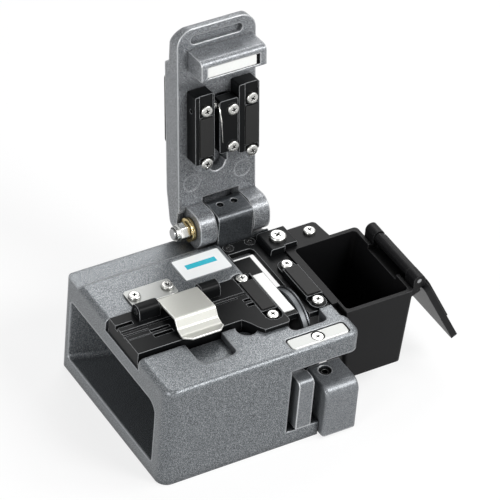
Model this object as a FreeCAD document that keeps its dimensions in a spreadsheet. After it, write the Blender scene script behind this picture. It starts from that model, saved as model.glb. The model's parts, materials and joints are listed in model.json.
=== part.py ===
"""Fibre cleaver: a cast body with a grip opening, a hinged clamp lid, a scoring wheel
on a sliding carriage, a sprung fibre clip and a bin for fibre ends with a hinged flap.

Sizes are in millimetres.  Every piece is drawn in the body's own corner frame: x to the
right along the front face, y to the back, z up from the table.  The placements then put
the row's origin under the middle of the body.  Pieces of the lid and of the bin flap are
drawn closed, about their hinge axis, and are turned open by their placements.
"""
import FreeCAD, Part
import math
import os
import re
import Sketcher

doc = FreeCAD.newDocument("FibreCleaver")
sheet = doc.addObject("Spreadsheet::Sheet", "Dim")
ALIASES = []
PLACES = {}
SUBPARTS = []


# ---------------------------------------------------------------- driving dimensions

def dimension(alias, value):
    """Writes one named size into the next row of the sheet."""
    row = len(ALIASES) + 1
    sheet.set(f"A{row}", alias)
    sheet.set(f"B{row}", str(value))
    sheet.setAlias(f"B{row}", alias)
    ALIASES.append(alias)


def place(name, expression):
    """Names a place that follows from sizes and earlier places."""
    PLACES[name] = f"({expression})"


def measured(name, start, distance):
    """Names a place by its distance from another; the start ends in + or -."""
    dimension(f"{name}_reach", distance)
    place(name, f"{start} {name}_reach")


# clearances
dimension("seat_gap", 0.15)
dimension("move_gap", 0.4)
dimension("shaft_gap", 0.05)
# cast body
dimension("body_width", 98)
dimension("body_depth", 92)
dimension("body_height", 54.3)
dimension("body_lift", 0.4)
dimension("left_corner_radius", 5.5)
dimension("right_corner_radius", 5)
dimension("back_corner_radius", 3)
dimension("top_edge_radius", 2.6)
dimension("shelf_drop", 2)
dimension("shelf_depth", 12)
dimension("shelf_blend", 1.8)
dimension("block_front", 13.5)
measured("block_right", "body_width -", 3.3)
measured("shelf_right", "body_width -", 1.7)
# grip opening through the left end of the body, its back wall slanting inwards
measured("grip_depth", "body_width -", 41)
dimension("front_wall", 9.7)
dimension("back_wall", 5.2)
dimension("grip_slant", 16.8)
dimension("floor_thickness", 7.5)
measured("grip_top", "body_height -", 13.3)
dimension("grip_radius", 6)
dimension("grip_small_radius", 2.5)
# mechanism bay on the right, open to the front, the back and the right
measured("bay_left", "body_width -", 35)
dimension("bay_floor", 8)
measured("bay_floor_right", "bay_left +", 16.8)
measured("bay_ceiling", "body_height -", 8.3)
measured("bay_slot_top", "bay_ceiling -", 2.1)
dimension("beam_depth", 13)
measured("well_left", "bay_left +", 7)
measured("well_back", "body_depth -", 13.5)
dimension("well_radius", 3)
measured("well_right", "bay_left +", 25.7)
dimension("ledge_depth", 4)
# rubber base pad
dimension("base_pad_inset", 6)
dimension("base_pad_thickness", 1.8)
# closing plate that the lid's magnet meets
measured("closing_plate_left", "bay_left +", 0.7)
dimension("closing_plate_length", 29.8)
dimension("closing_plate_front", 2.1)
dimension("closing_plate_depth", 7.5)
dimension("closing_plate_thickness", 2.6)
dimension("closing_plate_radius", 2)
dimension("closing_plate_bevel", 0.7)
# scoop in front of the clip, round pocket beside it, and the label
dimension("scoop_left", 23)
dimension("scoop_width", 18.5)
dimension("scoop_front", 11.4)
dimension("scoop_sink", 3.5)
dimension("scoop_radius", 3)
measured("pocket_x", "bay_left -", 10.1)
dimension("pocket_y", 24)
dimension("pocket_radius", 5)
dimension("pocket_sink", 3.6)
measured("label_left", "bay_left -", 18.6)
measured("label_front", "body_depth -", 29.5)
dimension("label_width", 24.6)
dimension("label_depth", 15)
dimension("label_radius", 2.5)
dimension("label_sink", 0.25)
dimension("label_thickness", 0.35)
# fibre platform, in a notch of the body
dimension("notch_front", 26)
dimension("notch_back", 55.3)
dimension("platform_left", 0.5)
measured("platform_right", "bay_left +", 8.8)
dimension("platform_front", 27.5)
dimension("platform_back", 53.6)
dimension("platform_thickness", 8)
measured("platform_top", "body_height +", 2)
measured("lobe_left", "bay_left -", 6)
dimension("lobe_front", 17.5)
dimension("fibre_line", 42.8)
dimension("fibre_groove_depth", 0.8)
dimension("groove_depth", 1)
dimension("slot_depth", 1.6)
# clip that holds the fibre on the platform
dimension("clip_left", 22.3)
dimension("clip_width", 20.4)
dimension("clip_sheet", 0.9)
dimension("clip_axis_y", 49.6)
measured("clip_axis_z", "platform_top +", 3.1)
dimension("clip_pin_radius", 1.2)
dimension("clip_corner", 3)
dimension("barrel_radius", 2.8)
dimension("barrel_left_start", 11.5)
dimension("barrel_right_length", 9.2)
dimension("clip_front", 23.6)
dimension("spring_plate_left", 14.7)
dimension("spring_plate_width", 23)
dimension("spring_plate_front", 57)
dimension("spring_plate_depth", 10.3)
dimension("spring_plate_thickness", 1)
dimension("spring_screw_inset", 3.2)
# clamps on the body
dimension("clamp_screw_span", 27)
dimension("clamp_centre_y", 39)
measured("left_clamp_x", "bay_left +", 4.2)
measured("right_clamp_x", "bay_left +", 27.4)
dimension("clamp_bar_width", 8)
dimension("clamp_bar_length", 35)
dimension("clamp_bar_height", 4.2)
dimension("rubber_width", 6.6)
dimension("rubber_length", 19.5)
dimension("rubber_sink", 1.6)
dimension("rubber_proud", 0.6)
dimension("screw_recess_radius", 4.8)
# plate over the bay, with the slot that the wheel runs in
measured("deck_top", "body_height -", 1.1)
dimension("deck_thickness", 3)
dimension("deck_screw_inset", 2.8)
measured("deck_right", "bay_left +", 32.2)
dimension("deck_front", 24)
dimension("deck_right_front", 21.5)
measured("slot_left", "bay_left +", 16.6)
measured("slot_right", "bay_left +", 20.7)
measured("slot_back", "body_depth -", 20.4)
dimension("slot_arm_depth", 5)
measured("strip_left", "bay_left +", 10.6)
dimension("strip_width", 5.4)
dimension("strip_front", 26.5)
dimension("strip_length", 27.5)
dimension("strip_thickness", 0.6)
# hinge of the lid
measured("hinge_y", "body_depth -", 4.5)
measured("hinge_z", "body_height +", 6.1)
dimension("knuckle_radius", 9)
measured("knuckle_left", "bay_left +", 6.7)
dimension("knuckle_width", 18)
dimension("knuckle_front", 9)
dimension("lug_width", 8.5)
dimension("lug_radius", 7)
dimension("lug_low_radius", 8.5)
dimension("hinge_pin_radius", 2.5)
dimension("hinge_head_length", 6.6)
dimension("hinge_nut_radius", 4.3)
dimension("hinge_washer_thickness", 0.9)
dimension("hinge_washer_radius", 5.6)
dimension("lid_lean", 7.8)
# lid, closed: its inner face is a plane above the hinge axis
measured("lid_left", "bay_left -", 6)
dimension("lid_width", 39.8)
measured("lid_length", "hinge_y +", 12)
dimension("lid_inner", 4.5)
dimension("lid_tail", 3)
dimension("lid_thickness", 11.2)
dimension("lid_tip_radius", 8)
dimension("lid_tip_thickness", 4)
measured("lid_tip_start", "lid_length -", 19.5)
dimension("lid_tip_step", 3.6)
measured("lip_left", "lid_left +", 5.2)
dimension("lip_width", 32.8)
measured("lip_near", "hinge_y -", 8.5)
measured("lip_far", "lip_near +", 9.8)
dimension("lip_face", 8)
dimension("lip_radius", 2.8)
dimension("magnet_length", 24.6)
dimension("magnet_width", 5)
dimension("magnet_thickness", 5)
dimension("magnet_offset", 0.9)
dimension("magnet_window", 1.7)
dimension("finger_slot_width", 26.2)
dimension("finger_slot_depth", 4.2)
dimension("finger_slot_sink", 2)
measured("finger_slot_centre", "lid_length -", 5.9)
dimension("ring_radius", 4)
dimension("ring_sink", 0.2)
dimension("ring_near", 20.6)
dimension("ring_inset", 6.8)
dimension("lid_pad_near", 35)
dimension("lid_pad_length", 38.5)
dimension("lid_pad_thickness", 2.6)
dimension("lid_pad_side", 1)
# upper clamps and anvil
dimension("upper_face", 2.9)
dimension("upper_seat_sink", 0.4)
dimension("upper_shift", 1)
measured("upper_near", "hinge_y - clamp_centre_y -", 14.6)
measured("upper_far", "hinge_y - clamp_centre_y +", 20.4)
measured("upper_left_start", "left_clamp_x -", 5.5)
measured("upper_left_end", "left_clamp_x +", 4.2)
measured("upper_right_start", "right_clamp_x -", 6.4)
measured("upper_right_end", "right_clamp_x +", 4)
dimension("upper_rubber_proud", 0.5)
measured("anvil_left", "bay_left +", 11.1)
dimension("anvil_width", 9.4)
measured("anvil_near", "hinge_y - clamp_centre_y -", 12)
measured("anvil_far", "hinge_y - clamp_centre_y +", 14.8)
dimension("anvil_pivot_inset", 3)
dimension("anvil_pin_radius", 1)
dimension("anvil_pin_height", 1)
dimension("anvil_screw_inset", 2.8)
dimension("anvil_room", 1.8)
dimension("pocket_depth", 5.4)
dimension("pocket_half", 3.2)
dimension("keyhole_centre", 27.6)
dimension("keyhole_radius", 4.2)
# rail, carriage and scoring wheel
measured("rail_centre", "bay_left +", 7.5)
dimension("rail_width", 7)
dimension("rail_height", 4.8)
dimension("rail_length", 52)
place("rail_front", "well_back - rail_length")
dimension("bearing_width", 14)
dimension("bearing_length", 24)
dimension("bearing_inset", 22)
dimension("bearing_top", 16)
dimension("tray_thickness", 3)
place("tray_top", "bearing_top + tray_thickness")
dimension("tray_front", 6)
dimension("tray_length", 46)
measured("tray_left", "bay_left +", 0.8)
measured("tray_right", "bay_left +", 30)
dimension("nose_width", 7.6)
measured("nose_left", "bay_left +", 4)
dimension("nose_proud", 1.3)
dimension("nose_bottom", 9.3)
measured("nose_top", "bay_ceiling -", 10)
dimension("holder_length", 47)
dimension("holder_width", 6.8)
dimension("wheel_y", 33)
dimension("wheel_sink", 0.2)
dimension("wheel_room", 1.3)
place("wheel_z", "(platform_top - wheel_sink + tray_top + wheel_room) / 2")
place("blade_radius", "(platform_top - wheel_sink - tray_top - wheel_room) / 2")
dimension("blade_rim", 0.9)
place("dial_radius", "blade_radius - blade_rim")
measured("wheel_left", "bay_left +", 17)
dimension("dial_thickness", 2.4)
dimension("blade_thickness", 0.7)
dimension("axle_radius", 2.5)
measured("push_left", "bay_left +", 17.2)
dimension("push_width", 17.3)
dimension("push_proud", 4)
dimension("push_bottom", 1.6)
dimension("push_top", 28.4)
dimension("push_depth", 18)
dimension("push_radius", 5.5)
measured("push_screw_x", "push_left +", 6.6)
dimension("push_screw_y", 9.1)
# bin for fibre ends
measured("bin_rim_left", "block_right +", 0.8)
measured("bin_wall_left", "bin_rim_left +", 2.1)
measured("bin_right", "bin_wall_left +", 35.9)
place("bin_front", "block_front")
measured("bin_back", "well_back -", 15.5)
place("bin_top", "body_height")
dimension("bin_bottom", 14)
dimension("bin_wall", 1.8)
dimension("bin_taper_side", 2.7)
dimension("bin_taper_back", 1.5)
dimension("bin_rim_height", 3)
dimension("bin_rim_drop", 2.3)
measured("flange_left", "bin_rim_left +", 6.9)
dimension("flange_width", 15.6)
place("flange_right", "flange_left + flange_width")
measured("flange_back", "well_back -", 4)
dimension("flange_thickness", 2.8)
measured("bracket_left", "deck_right -", 7.2)
measured("bracket_back", "well_back -", 3.5)
measured("bracket_front", "well_back -", 16.3)
measured("bracket_top", "deck_top +", 3.8)
measured("bracket_screw_x", "bracket_left +", 7)
# flap of the bin
measured("flap_axis_x", "bin_right +", 3.5)
measured("flap_axis_z", "bin_top +", 2.9)
dimension("flap_pin_radius", 1.2)
dimension("ear_radius", 3)
dimension("ear_front", 15)
dimension("ear_width", 7)
measured("ear_back", "bin_back -", 6.5)
dimension("flap_length", 45.3)
dimension("flap_front", 12.6)
measured("flap_width", "bin_back - flap_front -", 5.4)
dimension("flap_thickness", 3.2)
dimension("plug_thickness", 1.5)
dimension("plug_start", 8)
dimension("plug_length", 29)
dimension("plug_front", 18)
measured("plug_width", "bin_back - plug_front -", 7)
dimension("flap_open", 242)
dimension("barrel_gap", 0.5)
# screws
dimension("head_radius", 2.8)
dimension("head_height", 1.7)
dimension("shank_radius", 1.4)
dimension("small_head_radius", 2.3)
dimension("small_head_height", 1.3)
dimension("small_shank_radius", 1)
dimension("large_head_radius", 3.9)
dimension("large_head_height", 2.2)
dimension("large_shank_radius", 1.9)


def with_sheet(expression):
    """Spells out the named places and puts the sheet's name before each alias."""
    text = str(expression)
    for name in reversed(PLACES):
        text = re.sub(rf"\b{name}\b", PLACES[name], text)
    words = r"\b(" + "|".join(sorted(ALIASES, key=len, reverse=True)) + r")\b"
    return re.sub(words, r"Dim.\1", text)


def number(expression):
    """Value of an expression at the sheet's present sizes."""
    value = sheet.evalExpression(with_sheet(expression))
    return float(getattr(value, "Value", value))


doc.recompute()


# ---------------------------------------------------------------- drawing helpers

def subpart(label, turned=None):
    """A body in the corner frame, or in the frame of a hinge that is turned open."""
    body = doc.addObject("PartDesign::Body", label)
    body.Label = label
    body.AllowCompound = True
    if turned == "lid":
        axis, angle, y, z = (1, 0, 0), "-(90 + lid_lean)", "hinge_y", "hinge_z"
    elif turned == "flap":
        axis, angle, y, z = (0, 1, 0), "-(360 - flap_open)", "0", "flap_axis_z"
    else:
        axis, angle, y, z = (0, 0, 1), "0", "0", "0"
    turn = FreeCAD.Rotation(FreeCAD.Vector(*axis), number(angle))
    body.Placement = FreeCAD.Placement(FreeCAD.Vector(), turn)
    x = "flap_axis_x" if turned == "flap" else "0"
    body.setExpression("Placement.Base.x", with_sheet(f"{x} - body_width / 2"))
    body.setExpression("Placement.Base.y", with_sheet(f"{y} - body_depth / 2"))
    body.setExpression("Placement.Base.z", with_sheet(z))
    if turned:
        body.setExpression("Placement.Rotation.Angle", with_sheet(angle))
    SUBPARTS.append(body)
    return body


def sketch_on(body, plane, offset):
    """An empty sketch on one of the body's own origin planes, moved along its normal."""
    sketch = body.newObject("Sketcher::SketchObject", body.Label + "_sketch")
    base = [f for f in body.Origin.OriginFeatures if f.Role == plane + "_Plane"][0]
    sketch.AttachmentSupport = [(base, "")]
    sketch.MapMode = "FlatFace"
    sign = "-" if plane == "XZ" else ""
    sketch.setExpression("AttachmentOffset.Base.z", with_sheet(f"{sign}({offset})"))
    return sketch


def pin_point(sketch, geometry, position, x, y):
    """Holds a point of the sketch at two distances from the sketch's origin."""
    for kind, distance in (("DistanceX", x), ("DistanceY", y)):
        rule = Sketcher.Constraint(kind, -1, 1, geometry, position, number(distance))
        index = sketch.addConstraint(rule)
        sketch.setExpression(f"Constraints[{index}]", with_sheet(distance))


def draw_circle(sketch, x, y, radius):
    centre = FreeCAD.Vector(number(x), number(y), 0)
    shape = Part.Circle(centre, FreeCAD.Vector(0, 0, 1), number(radius))
    circle = sketch.addGeometry(shape, False)
    index = sketch.addConstraint(Sketcher.Constraint("Radius", circle, number(radius)))
    sketch.setExpression(f"Constraints[{index}]", with_sheet(radius))
    pin_point(sketch, circle, 3, x, y)


def draw_outline(sketch, corners):
    """A closed outline through its corners; a corner's third value is its radius."""
    points = [FreeCAD.Vector(number(c[0]), number(c[1]), 0) for c in corners]
    count = len(corners)
    starts, ends, arcs = [], [], []
    for i, corner in enumerate(corners):
        back = (points[i - 1] - points[i]).normalize()
        on = (points[(i + 1) % count] - points[i]).normalize()
        if len(corner) == 2:
            starts.append(points[i])
            ends.append(points[i])
            arcs.append(None)
            continue
        half = back.getAngle(on) / 2
        radius = number(corner[2])
        reach = radius / math.tan(half)
        ends.append(points[i] + back * reach)
        starts.append(points[i] + on * reach)
        centre = points[i] + (back + on).normalize() * (radius / math.sin(half))
        arcs.append((centre, radius, back.cross(on).z < 0))
    lines = []
    for i in range(count):
        line = Part.LineSegment(starts[i], ends[(i + 1) % count])
        lines.append(sketch.addGeometry(line, False))
    for i, corner in enumerate(corners):
        into, out = lines[i - 1], lines[i]
        if arcs[i] is None:
            sketch.addConstraint(Sketcher.Constraint("Coincident", into, 2, out, 1))
            pin_point(sketch, out, 1, corner[0], corner[1])
            continue
        centre, radius, left_turn = arcs[i]
        first, last = (ends[i], starts[i]) if left_turn else (starts[i], ends[i])
        circle = Part.Circle(centre, FreeCAD.Vector(0, 0, 1), radius)
        arc_shape = Part.ArcOfCircle(circle, circle.parameter(first), circle.parameter(last))
        arc = sketch.addGeometry(arc_shape, False)
        join_in, join_out = (1, 2) if left_turn else (2, 1)
        sketch.addConstraint(Sketcher.Constraint("Tangent", into, 2, arc, join_in))
        sketch.addConstraint(Sketcher.Constraint("Tangent", arc, join_out, out, 1))
        index = sketch.addConstraint(Sketcher.Constraint("Radius", arc, radius))
        sketch.setExpression(f"Constraints[{index}]", with_sheet(corner[2]))
        tip = sketch.addGeometry(Part.Point(points[i]), True)
        sketch.addConstraint(Sketcher.Constraint("PointOnObject", tip, 1, into))
        sketch.addConstraint(Sketcher.Constraint("PointOnObject", tip, 1, out))
        pin_point(sketch, tip, 1, corner[0], corner[1])


def draw(sketch, loops):
    for loop in loops:
        if loop[0] == "circle":
            draw_circle(sketch, *loop[1:])
        else:
            draw_outline(sketch, loop)


def prism(body, plane, near, far, *loops):
    """Adds the outline, carried along its plane's axis from one place to the other."""
    sketch = sketch_on(body, plane, far if plane == "XZ" else near)
    draw(sketch, loops)
    pad = body.newObject("PartDesign::Pad", body.Label + "_pad")
    pad.Profile = sketch
    pad.setExpression("Length", with_sheet(f"({far}) - ({near})"))
    doc.recompute()
    return pad


def cut(body, plane, near, far, *loops):
    """Takes the outline away between two places along its plane's axis."""
    before = body.Shape.Volume
    sketch = sketch_on(body, plane, near if plane == "XZ" else far)
    draw(sketch, loops)
    pocket = body.newObject("PartDesign::Pocket", body.Label + "_cut")
    pocket.Profile = sketch
    pocket.setExpression("Length", with_sheet(f"({far}) - ({near})"))
    doc.recompute()
    if body.Shape.Volume >= before:
        raise RuntimeError(f"{body.Label}: a cut took nothing away")
    return pocket


def loft(body, kind, plane, *levels):
    """A solid or a hollow between outlines at two or more places along an axis."""
    sketches = []
    for level, outline in levels:
        sketch = sketch_on(body, plane, level)
        draw(sketch, [outline])
        sketches.append(sketch)
    doc.recompute()
    feature = body.newObject(f"PartDesign::{kind}Loft", f"{body.Label}_{kind}")
    feature.Profile = sketches[0]
    feature.Sections = sketches[1:]
    feature.Ruled = True
    doc.recompute()
    return feature


def soften(body, radius, chosen, kind="Fillet"):
    """Rounds or bevels the edges of the body so far that the test chooses."""
    base = body.Tip
    edges = base.Shape.Edges
    names = [f"Edge{i + 1}" for i, edge in enumerate(edges) if chosen(edge)]
    if not names:
        raise RuntimeError(f"{body.Label}: no edge to soften")
    feature = body.newObject(f"PartDesign::{kind}", f"{body.Label}_{kind}")
    feature.Base = (base, names)
    size = "Radius" if kind == "Fillet" else "Size"
    feature.setExpression(size, with_sheet(radius))
    doc.recompute()
    return feature


def box(x0, x1, y0, y1, radius=None):
    """Outline of a rectangle, with its corners rounded if a radius is given."""
    corners = [(x0, y0), (x1, y0), (x1, y1), (x0, y1)]
    if radius is None:
        return corners
    return [corner + (radius,) for corner in corners]


def near_value(value, expression):
    return abs(value - number(expression)) < 1e-3


def edge_spans(edge, axis):
    """Lowest and highest value of an edge along an axis, 0 for x, 1 for y, 2 for z."""
    bounds = edge.BoundBox
    lows = (bounds.XMin, bounds.YMin, bounds.ZMin)
    highs = (bounds.XMax, bounds.YMax, bounds.ZMax)
    return lows[axis], highs[axis]


def edge_at(edge, axis, expression):
    """True where the whole edge lies at one value of an axis."""
    low, high = edge_spans(edge, axis)
    return near_value(low, expression) and near_value(high, expression)


def edge_along(edge, axis):
    """True for a straight edge along an axis."""
    if edge.Curve.TypeId != "Part::GeomLine":
        return False
    spans = [edge_spans(edge, k) for k in range(3)]
    return all((high - low > 1e-3) == (k == axis) for k, (low, high) in enumerate(spans))


# ---------------------------------------------------------------- screws and their holes

PAN = ("head_radius", "head_height", "shank_radius")
SMALL = ("small_head_radius", "small_head_height", "small_shank_radius")
LARGE = ("large_head_radius", "large_head_height", "large_shank_radius")


def circles(spots, radius):
    return [("circle", x, y, radius) for x, y in spots]


def make_screws(label, spots, seat, length, kind=PAN, turned=None, facing=1):
    """Pan head screws along z; facing is -1 where the heads point down."""
    head, height, shank = kind
    body = subpart(label, turned)
    if facing > 0:
        prism(body, "XY", seat, f"{seat} + {height}", *circles(spots, head))
        soften(body, f"{height} * 0.45", lambda e: edge_at(e, 2, f"{seat} + {height}"))
        prism(body, "XY", f"{seat} - {length}", seat, *circles(spots, shank))
    else:
        prism(body, "XY", f"{seat} - {height}", seat, *circles(spots, head))
        soften(body, f"{height} * 0.45", lambda e: edge_at(e, 2, f"{seat} - {height}"))
        prism(body, "XY", seat, f"{seat} + {length}", *circles(spots, shank))
    return body


def drill(body, spots, low, high, kind=PAN):
    cut(body, "XY", low, high, *circles(spots, f"{kind[2]} + shaft_gap"))


# ---------------------------------------------------------------- places shared by pieces

CLIP_RIGHT = "(clip_left + clip_width)"
LUG_SWEEP = "((knuckle_radius - lug_radius) * sqrt(2) + lug_radius)"
PLATFORM_BOTTOM = "(platform_top - platform_thickness)"
DECK_BOTTOM = "(deck_top - deck_thickness)"
SHELF_TOP = "(body_height - shelf_drop)"
LID_OUTER = "(lid_inner + lid_thickness)"
LID_RIGHT = "(lid_left + lid_width)"
LID_MIDDLE = "(lid_left + lid_width / 2)"
KNUCKLE_RIGHT = "(knuckle_left + knuckle_width)"
CLOSING_SCREW = [("closing_plate_left + closing_plate_length / 2",
                  "closing_plate_front + closing_plate_depth / 2")]
CLAMP_ENDS = ("- clamp_screw_span / 2", "+ clamp_screw_span / 2")
LEFT_CLAMP_SCREWS = [("left_clamp_x", f"clamp_centre_y {end}") for end in CLAMP_ENDS]
RIGHT_CLAMP_SCREWS = [("right_clamp_x", f"clamp_centre_y {end}") for end in CLAMP_ENDS]
CLAMP_BACK = "(clamp_centre_y + clamp_bar_length / 2)"
HEAD_REACH = "(clamp_screw_span / 2 - head_radius - seat_gap)"
LOWER_SEAT = "(platform_top - head_height)"
SPRING_SCREW_Y = "spring_plate_front + spring_plate_depth / 2"
SPRING_PLATE_SCREWS = [
    ("spring_plate_left + spring_screw_inset", SPRING_SCREW_Y),
    ("spring_plate_left + spring_plate_width - spring_screw_inset", SPRING_SCREW_Y),
]
DECK_SCREWS = [("well_left + 3.8", "well_back - deck_screw_inset"),
               ("deck_right - 10.2", "well_back - deck_screw_inset")]
BRACKET_SCREW = [("bracket_screw_x", "(bracket_front + bracket_back) / 2")]
FLANGE_SCREW = [("(flange_left + flange_right) / 2 + 1.8", "(bin_back + flange_back) / 2")]
RAIL_SCREWS = [("rail_centre", f"rail_front + rail_length * {share}")
               for share in (0.08, 0.36, 0.64, 0.92)]
RAIL_TOP = "(bay_floor + rail_height)"
RAIL_SEAT = f"({RAIL_TOP} - small_head_height - 2 * seat_gap)"
RAIL_SCREW_LENGTH = "6"


def platform_outline(gap, left, front, back):
    """Outline of the fibre platform from above; its lobe is hollowed by the pocket."""
    lobe = f"lobe_left - {gap}"
    return [
        (left, front),
        (f"{lobe} - 4.5", front),
        (f"{lobe} - 2.4", f"lobe_front + 7 - {gap}"),
        (f"{lobe} - 0.2", f"lobe_front + 2.8 - {gap}"),
        (f"{lobe} + 1.7", f"lobe_front - {gap}"),
        (f"platform_right + {gap}", f"lobe_front - {gap}", "2"),
        (f"platform_right + {gap}", back),
        (left, back),
    ]


# ---------------------------------------------------------------- cast body

def make_main_body():
    body = subpart("main_body")
    width, depth, top = "body_width", "body_depth", "body_height"
    right, back = f"{width} + 1", f"{depth} + 1"
    prism(body, "XY", "body_lift", top, [
        ("0", "0", "left_corner_radius"),
        (width, "0", "right_corner_radius"),
        (width, depth, "back_corner_radius"),
        ("0", depth, "back_corner_radius"),
    ])
    soften(body, "top_edge_radius", lambda edge: edge_at(edge, 2, top))
    # the right end steps in behind the front beam, to clear the bin
    cut(body, "XY", "-1", f"{top} + 1", [
        ("block_right", "block_front"),
        ("block_right", "well_back"),
        ("shelf_right", "well_back"),
        ("shelf_right", back),
        (right, back),
        (right, f"block_front - ({right} - block_right)"),
    ])
    # the back of the top steps down to a shelf, with a soft inner corner
    step = f"{depth} - shelf_depth"
    cut(body, "YZ", "-1", right, [
        (step, f"{top} + 1"),
        (step, SHELF_TOP, "shelf_blend"),
        (back, SHELF_TOP),
        (back, f"{top} + 1"),
    ])
    # grip opening, a loop that the hand goes through; its back wall slants inwards
    grip_back = f"({depth} - back_wall)"
    loft(body, "Subtractive", "YZ", *[
        (x, [
            ("front_wall", "floor_thickness", "grip_small_radius"),
            (y, "floor_thickness", "grip_small_radius"),
            (y, "grip_top", "grip_small_radius"),
            ("front_wall", "grip_top", "grip_radius"),
        ]) for x, y in (("-1", f"{grip_back} + grip_slant / grip_depth"),
                        ("grip_depth", f"{grip_back} - grip_slant"))])
    # mechanism bay: slot in the front wall, room behind it, floor cut back at the right
    cut(body, "XZ", "-1", "beam_depth", box("bay_left", right, "bay_floor", "bay_slot_top"))
    cut(body, "XZ", "beam_depth", back, box("bay_left", right, "bay_floor", "bay_ceiling"))
    cut(body, "XY", "-1", "bay_floor + 1", box("bay_floor_right", right, "-1", back))
    # well over the wheel, open to the bay
    cut(body, "XY", "bay_ceiling - 1", f"{top} + 1", [
        ("well_left", "beam_depth", "well_radius"),
        ("well_right", "beam_depth", "well_radius"),
        ("well_right", "deck_right_front - seat_gap"),
        (right, "deck_right_front - seat_gap"),
        (right, "well_back"),
        ("well_left", "well_back"),
    ])
    # ledge at the back of the well, which carries the deck
    prism(body, "YZ", "bay_left - 1", "deck_right", [
        ("well_back - ledge_depth", "bay_ceiling"),
        ("well_back + ledge_depth", "bay_ceiling"),
        ("well_back + ledge_depth", DECK_BOTTOM),
        ("well_back - ledge_depth", DECK_BOTTOM),
    ])
    # seats: fibre platform, scoop, closing plate, label, base pad
    cut(body, "XY", PLATFORM_BOTTOM, f"{top} + 1",
        platform_outline("seat_gap", "-1", "notch_front", "notch_back"))
    cut(body, "XY", f"{top} - scoop_sink", f"{top} + 1",
        box("scoop_left", "scoop_left + scoop_width", "scoop_front",
            "notch_front + scoop_radius", "scoop_radius"))
    cut(body, "XY", f"{top} - pocket_sink", f"{top} + 1",
        ("circle", "pocket_x", "pocket_y", "pocket_radius"))
    cut(body, "XY", f"{top} - closing_plate_thickness", f"{top} + 1",
        closing_plate_outline("seat_gap"))
    cut(body, "XY", f"{top} - label_sink", f"{top} + 1", label_outline("seat_gap"))
    cut(body, "XY", "0", "base_pad_thickness", base_pad_outline("seat_gap"))
    cut(body, "XY", "platform_top - clamp_bar_height", f"{top} + 1",
        ("circle", "left_clamp_x", LEFT_CLAMP_SCREWS[1][1], "screw_recess_radius"))
    cut(body, "XY", SHELF_TOP, f"{top} + 1",
        box("knuckle_left - seat_gap", "knuckle_left + knuckle_width + seat_gap",
            "hinge_y - knuckle_front - seat_gap", f"{depth} - shelf_depth + shelf_blend"))
    # room for the lid's lugs to turn, and holes
    for start, end in (("knuckle_left - lug_width - 2 * move_gap", "knuckle_left"),
                       ("knuckle_left + knuckle_width", right)):
        cut(body, "YZ", start, end,
            ("circle", "hinge_y", "hinge_z", f"{LUG_SWEEP} + move_gap"))
    drill(body, CLOSING_SCREW, f"{top} - closing_plate_thickness - 5", top)
    drill(body, SPRING_PLATE_SCREWS, f"{top} - 6", f"{top} + 1")
    drill(body, DECK_SCREWS, "bay_ceiling - 1", DECK_BOTTOM + " + 1", SMALL)
    drill(body, RAIL_SCREWS, f"{RAIL_SEAT} - {RAIL_SCREW_LENGTH} - 0.5", "bay_floor + 1", SMALL)
    return body


def closing_plate_outline(gap):
    return box(f"closing_plate_left - {gap}",
               f"closing_plate_left + closing_plate_length + {gap}",
               f"closing_plate_front - {gap}",
               f"closing_plate_front + closing_plate_depth + {gap}", "closing_plate_radius")


def label_outline(gap):
    return box(f"label_left - {gap}", f"label_left + label_width + {gap}",
               f"label_front - {gap}", f"label_front + label_depth + {gap}", "label_radius")


def base_pad_outline(gap):
    return box(f"base_pad_inset - {gap}", f"grip_depth + {gap}",
               f"base_pad_inset - {gap}", f"body_depth - base_pad_inset + {gap}",
               "back_corner_radius")


def make_body_trim():
    pad = subpart("base_pad")
    prism(pad, "XY", "0", "base_pad_thickness", base_pad_outline("0"))
    plate = subpart("closing_plate")
    prism(plate, "XY", "body_height - closing_plate_thickness", "body_height",
          closing_plate_outline("0"))
    soften(plate, "closing_plate_bevel", lambda e: edge_at(e, 2, "body_height"), "Chamfer")
    seat = "(body_height - head_height - seat_gap)"
    cut(plate, "XY", seat, "body_height + 1",
        *circles(CLOSING_SCREW, "head_radius + move_gap"))
    drill(plate, CLOSING_SCREW, "body_height - closing_plate_thickness - 1", "body_height")
    make_screws("closing_plate_screw", CLOSING_SCREW, seat, "5")
    label = subpart("label")
    prism(label, "XY", "body_height - label_sink", "body_height - label_sink + label_thickness",
          label_outline("0"))


# ---------------------------------------------------------------- fibre platform and clip

BARREL_RIGHT_END = f"({CLIP_RIGHT} + move_gap + barrel_right_length)"
BARRELS = [("barrel_left_start", "clip_left - move_gap"),
           (f"{CLIP_RIGHT} + move_gap", BARREL_RIGHT_END)]


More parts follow.
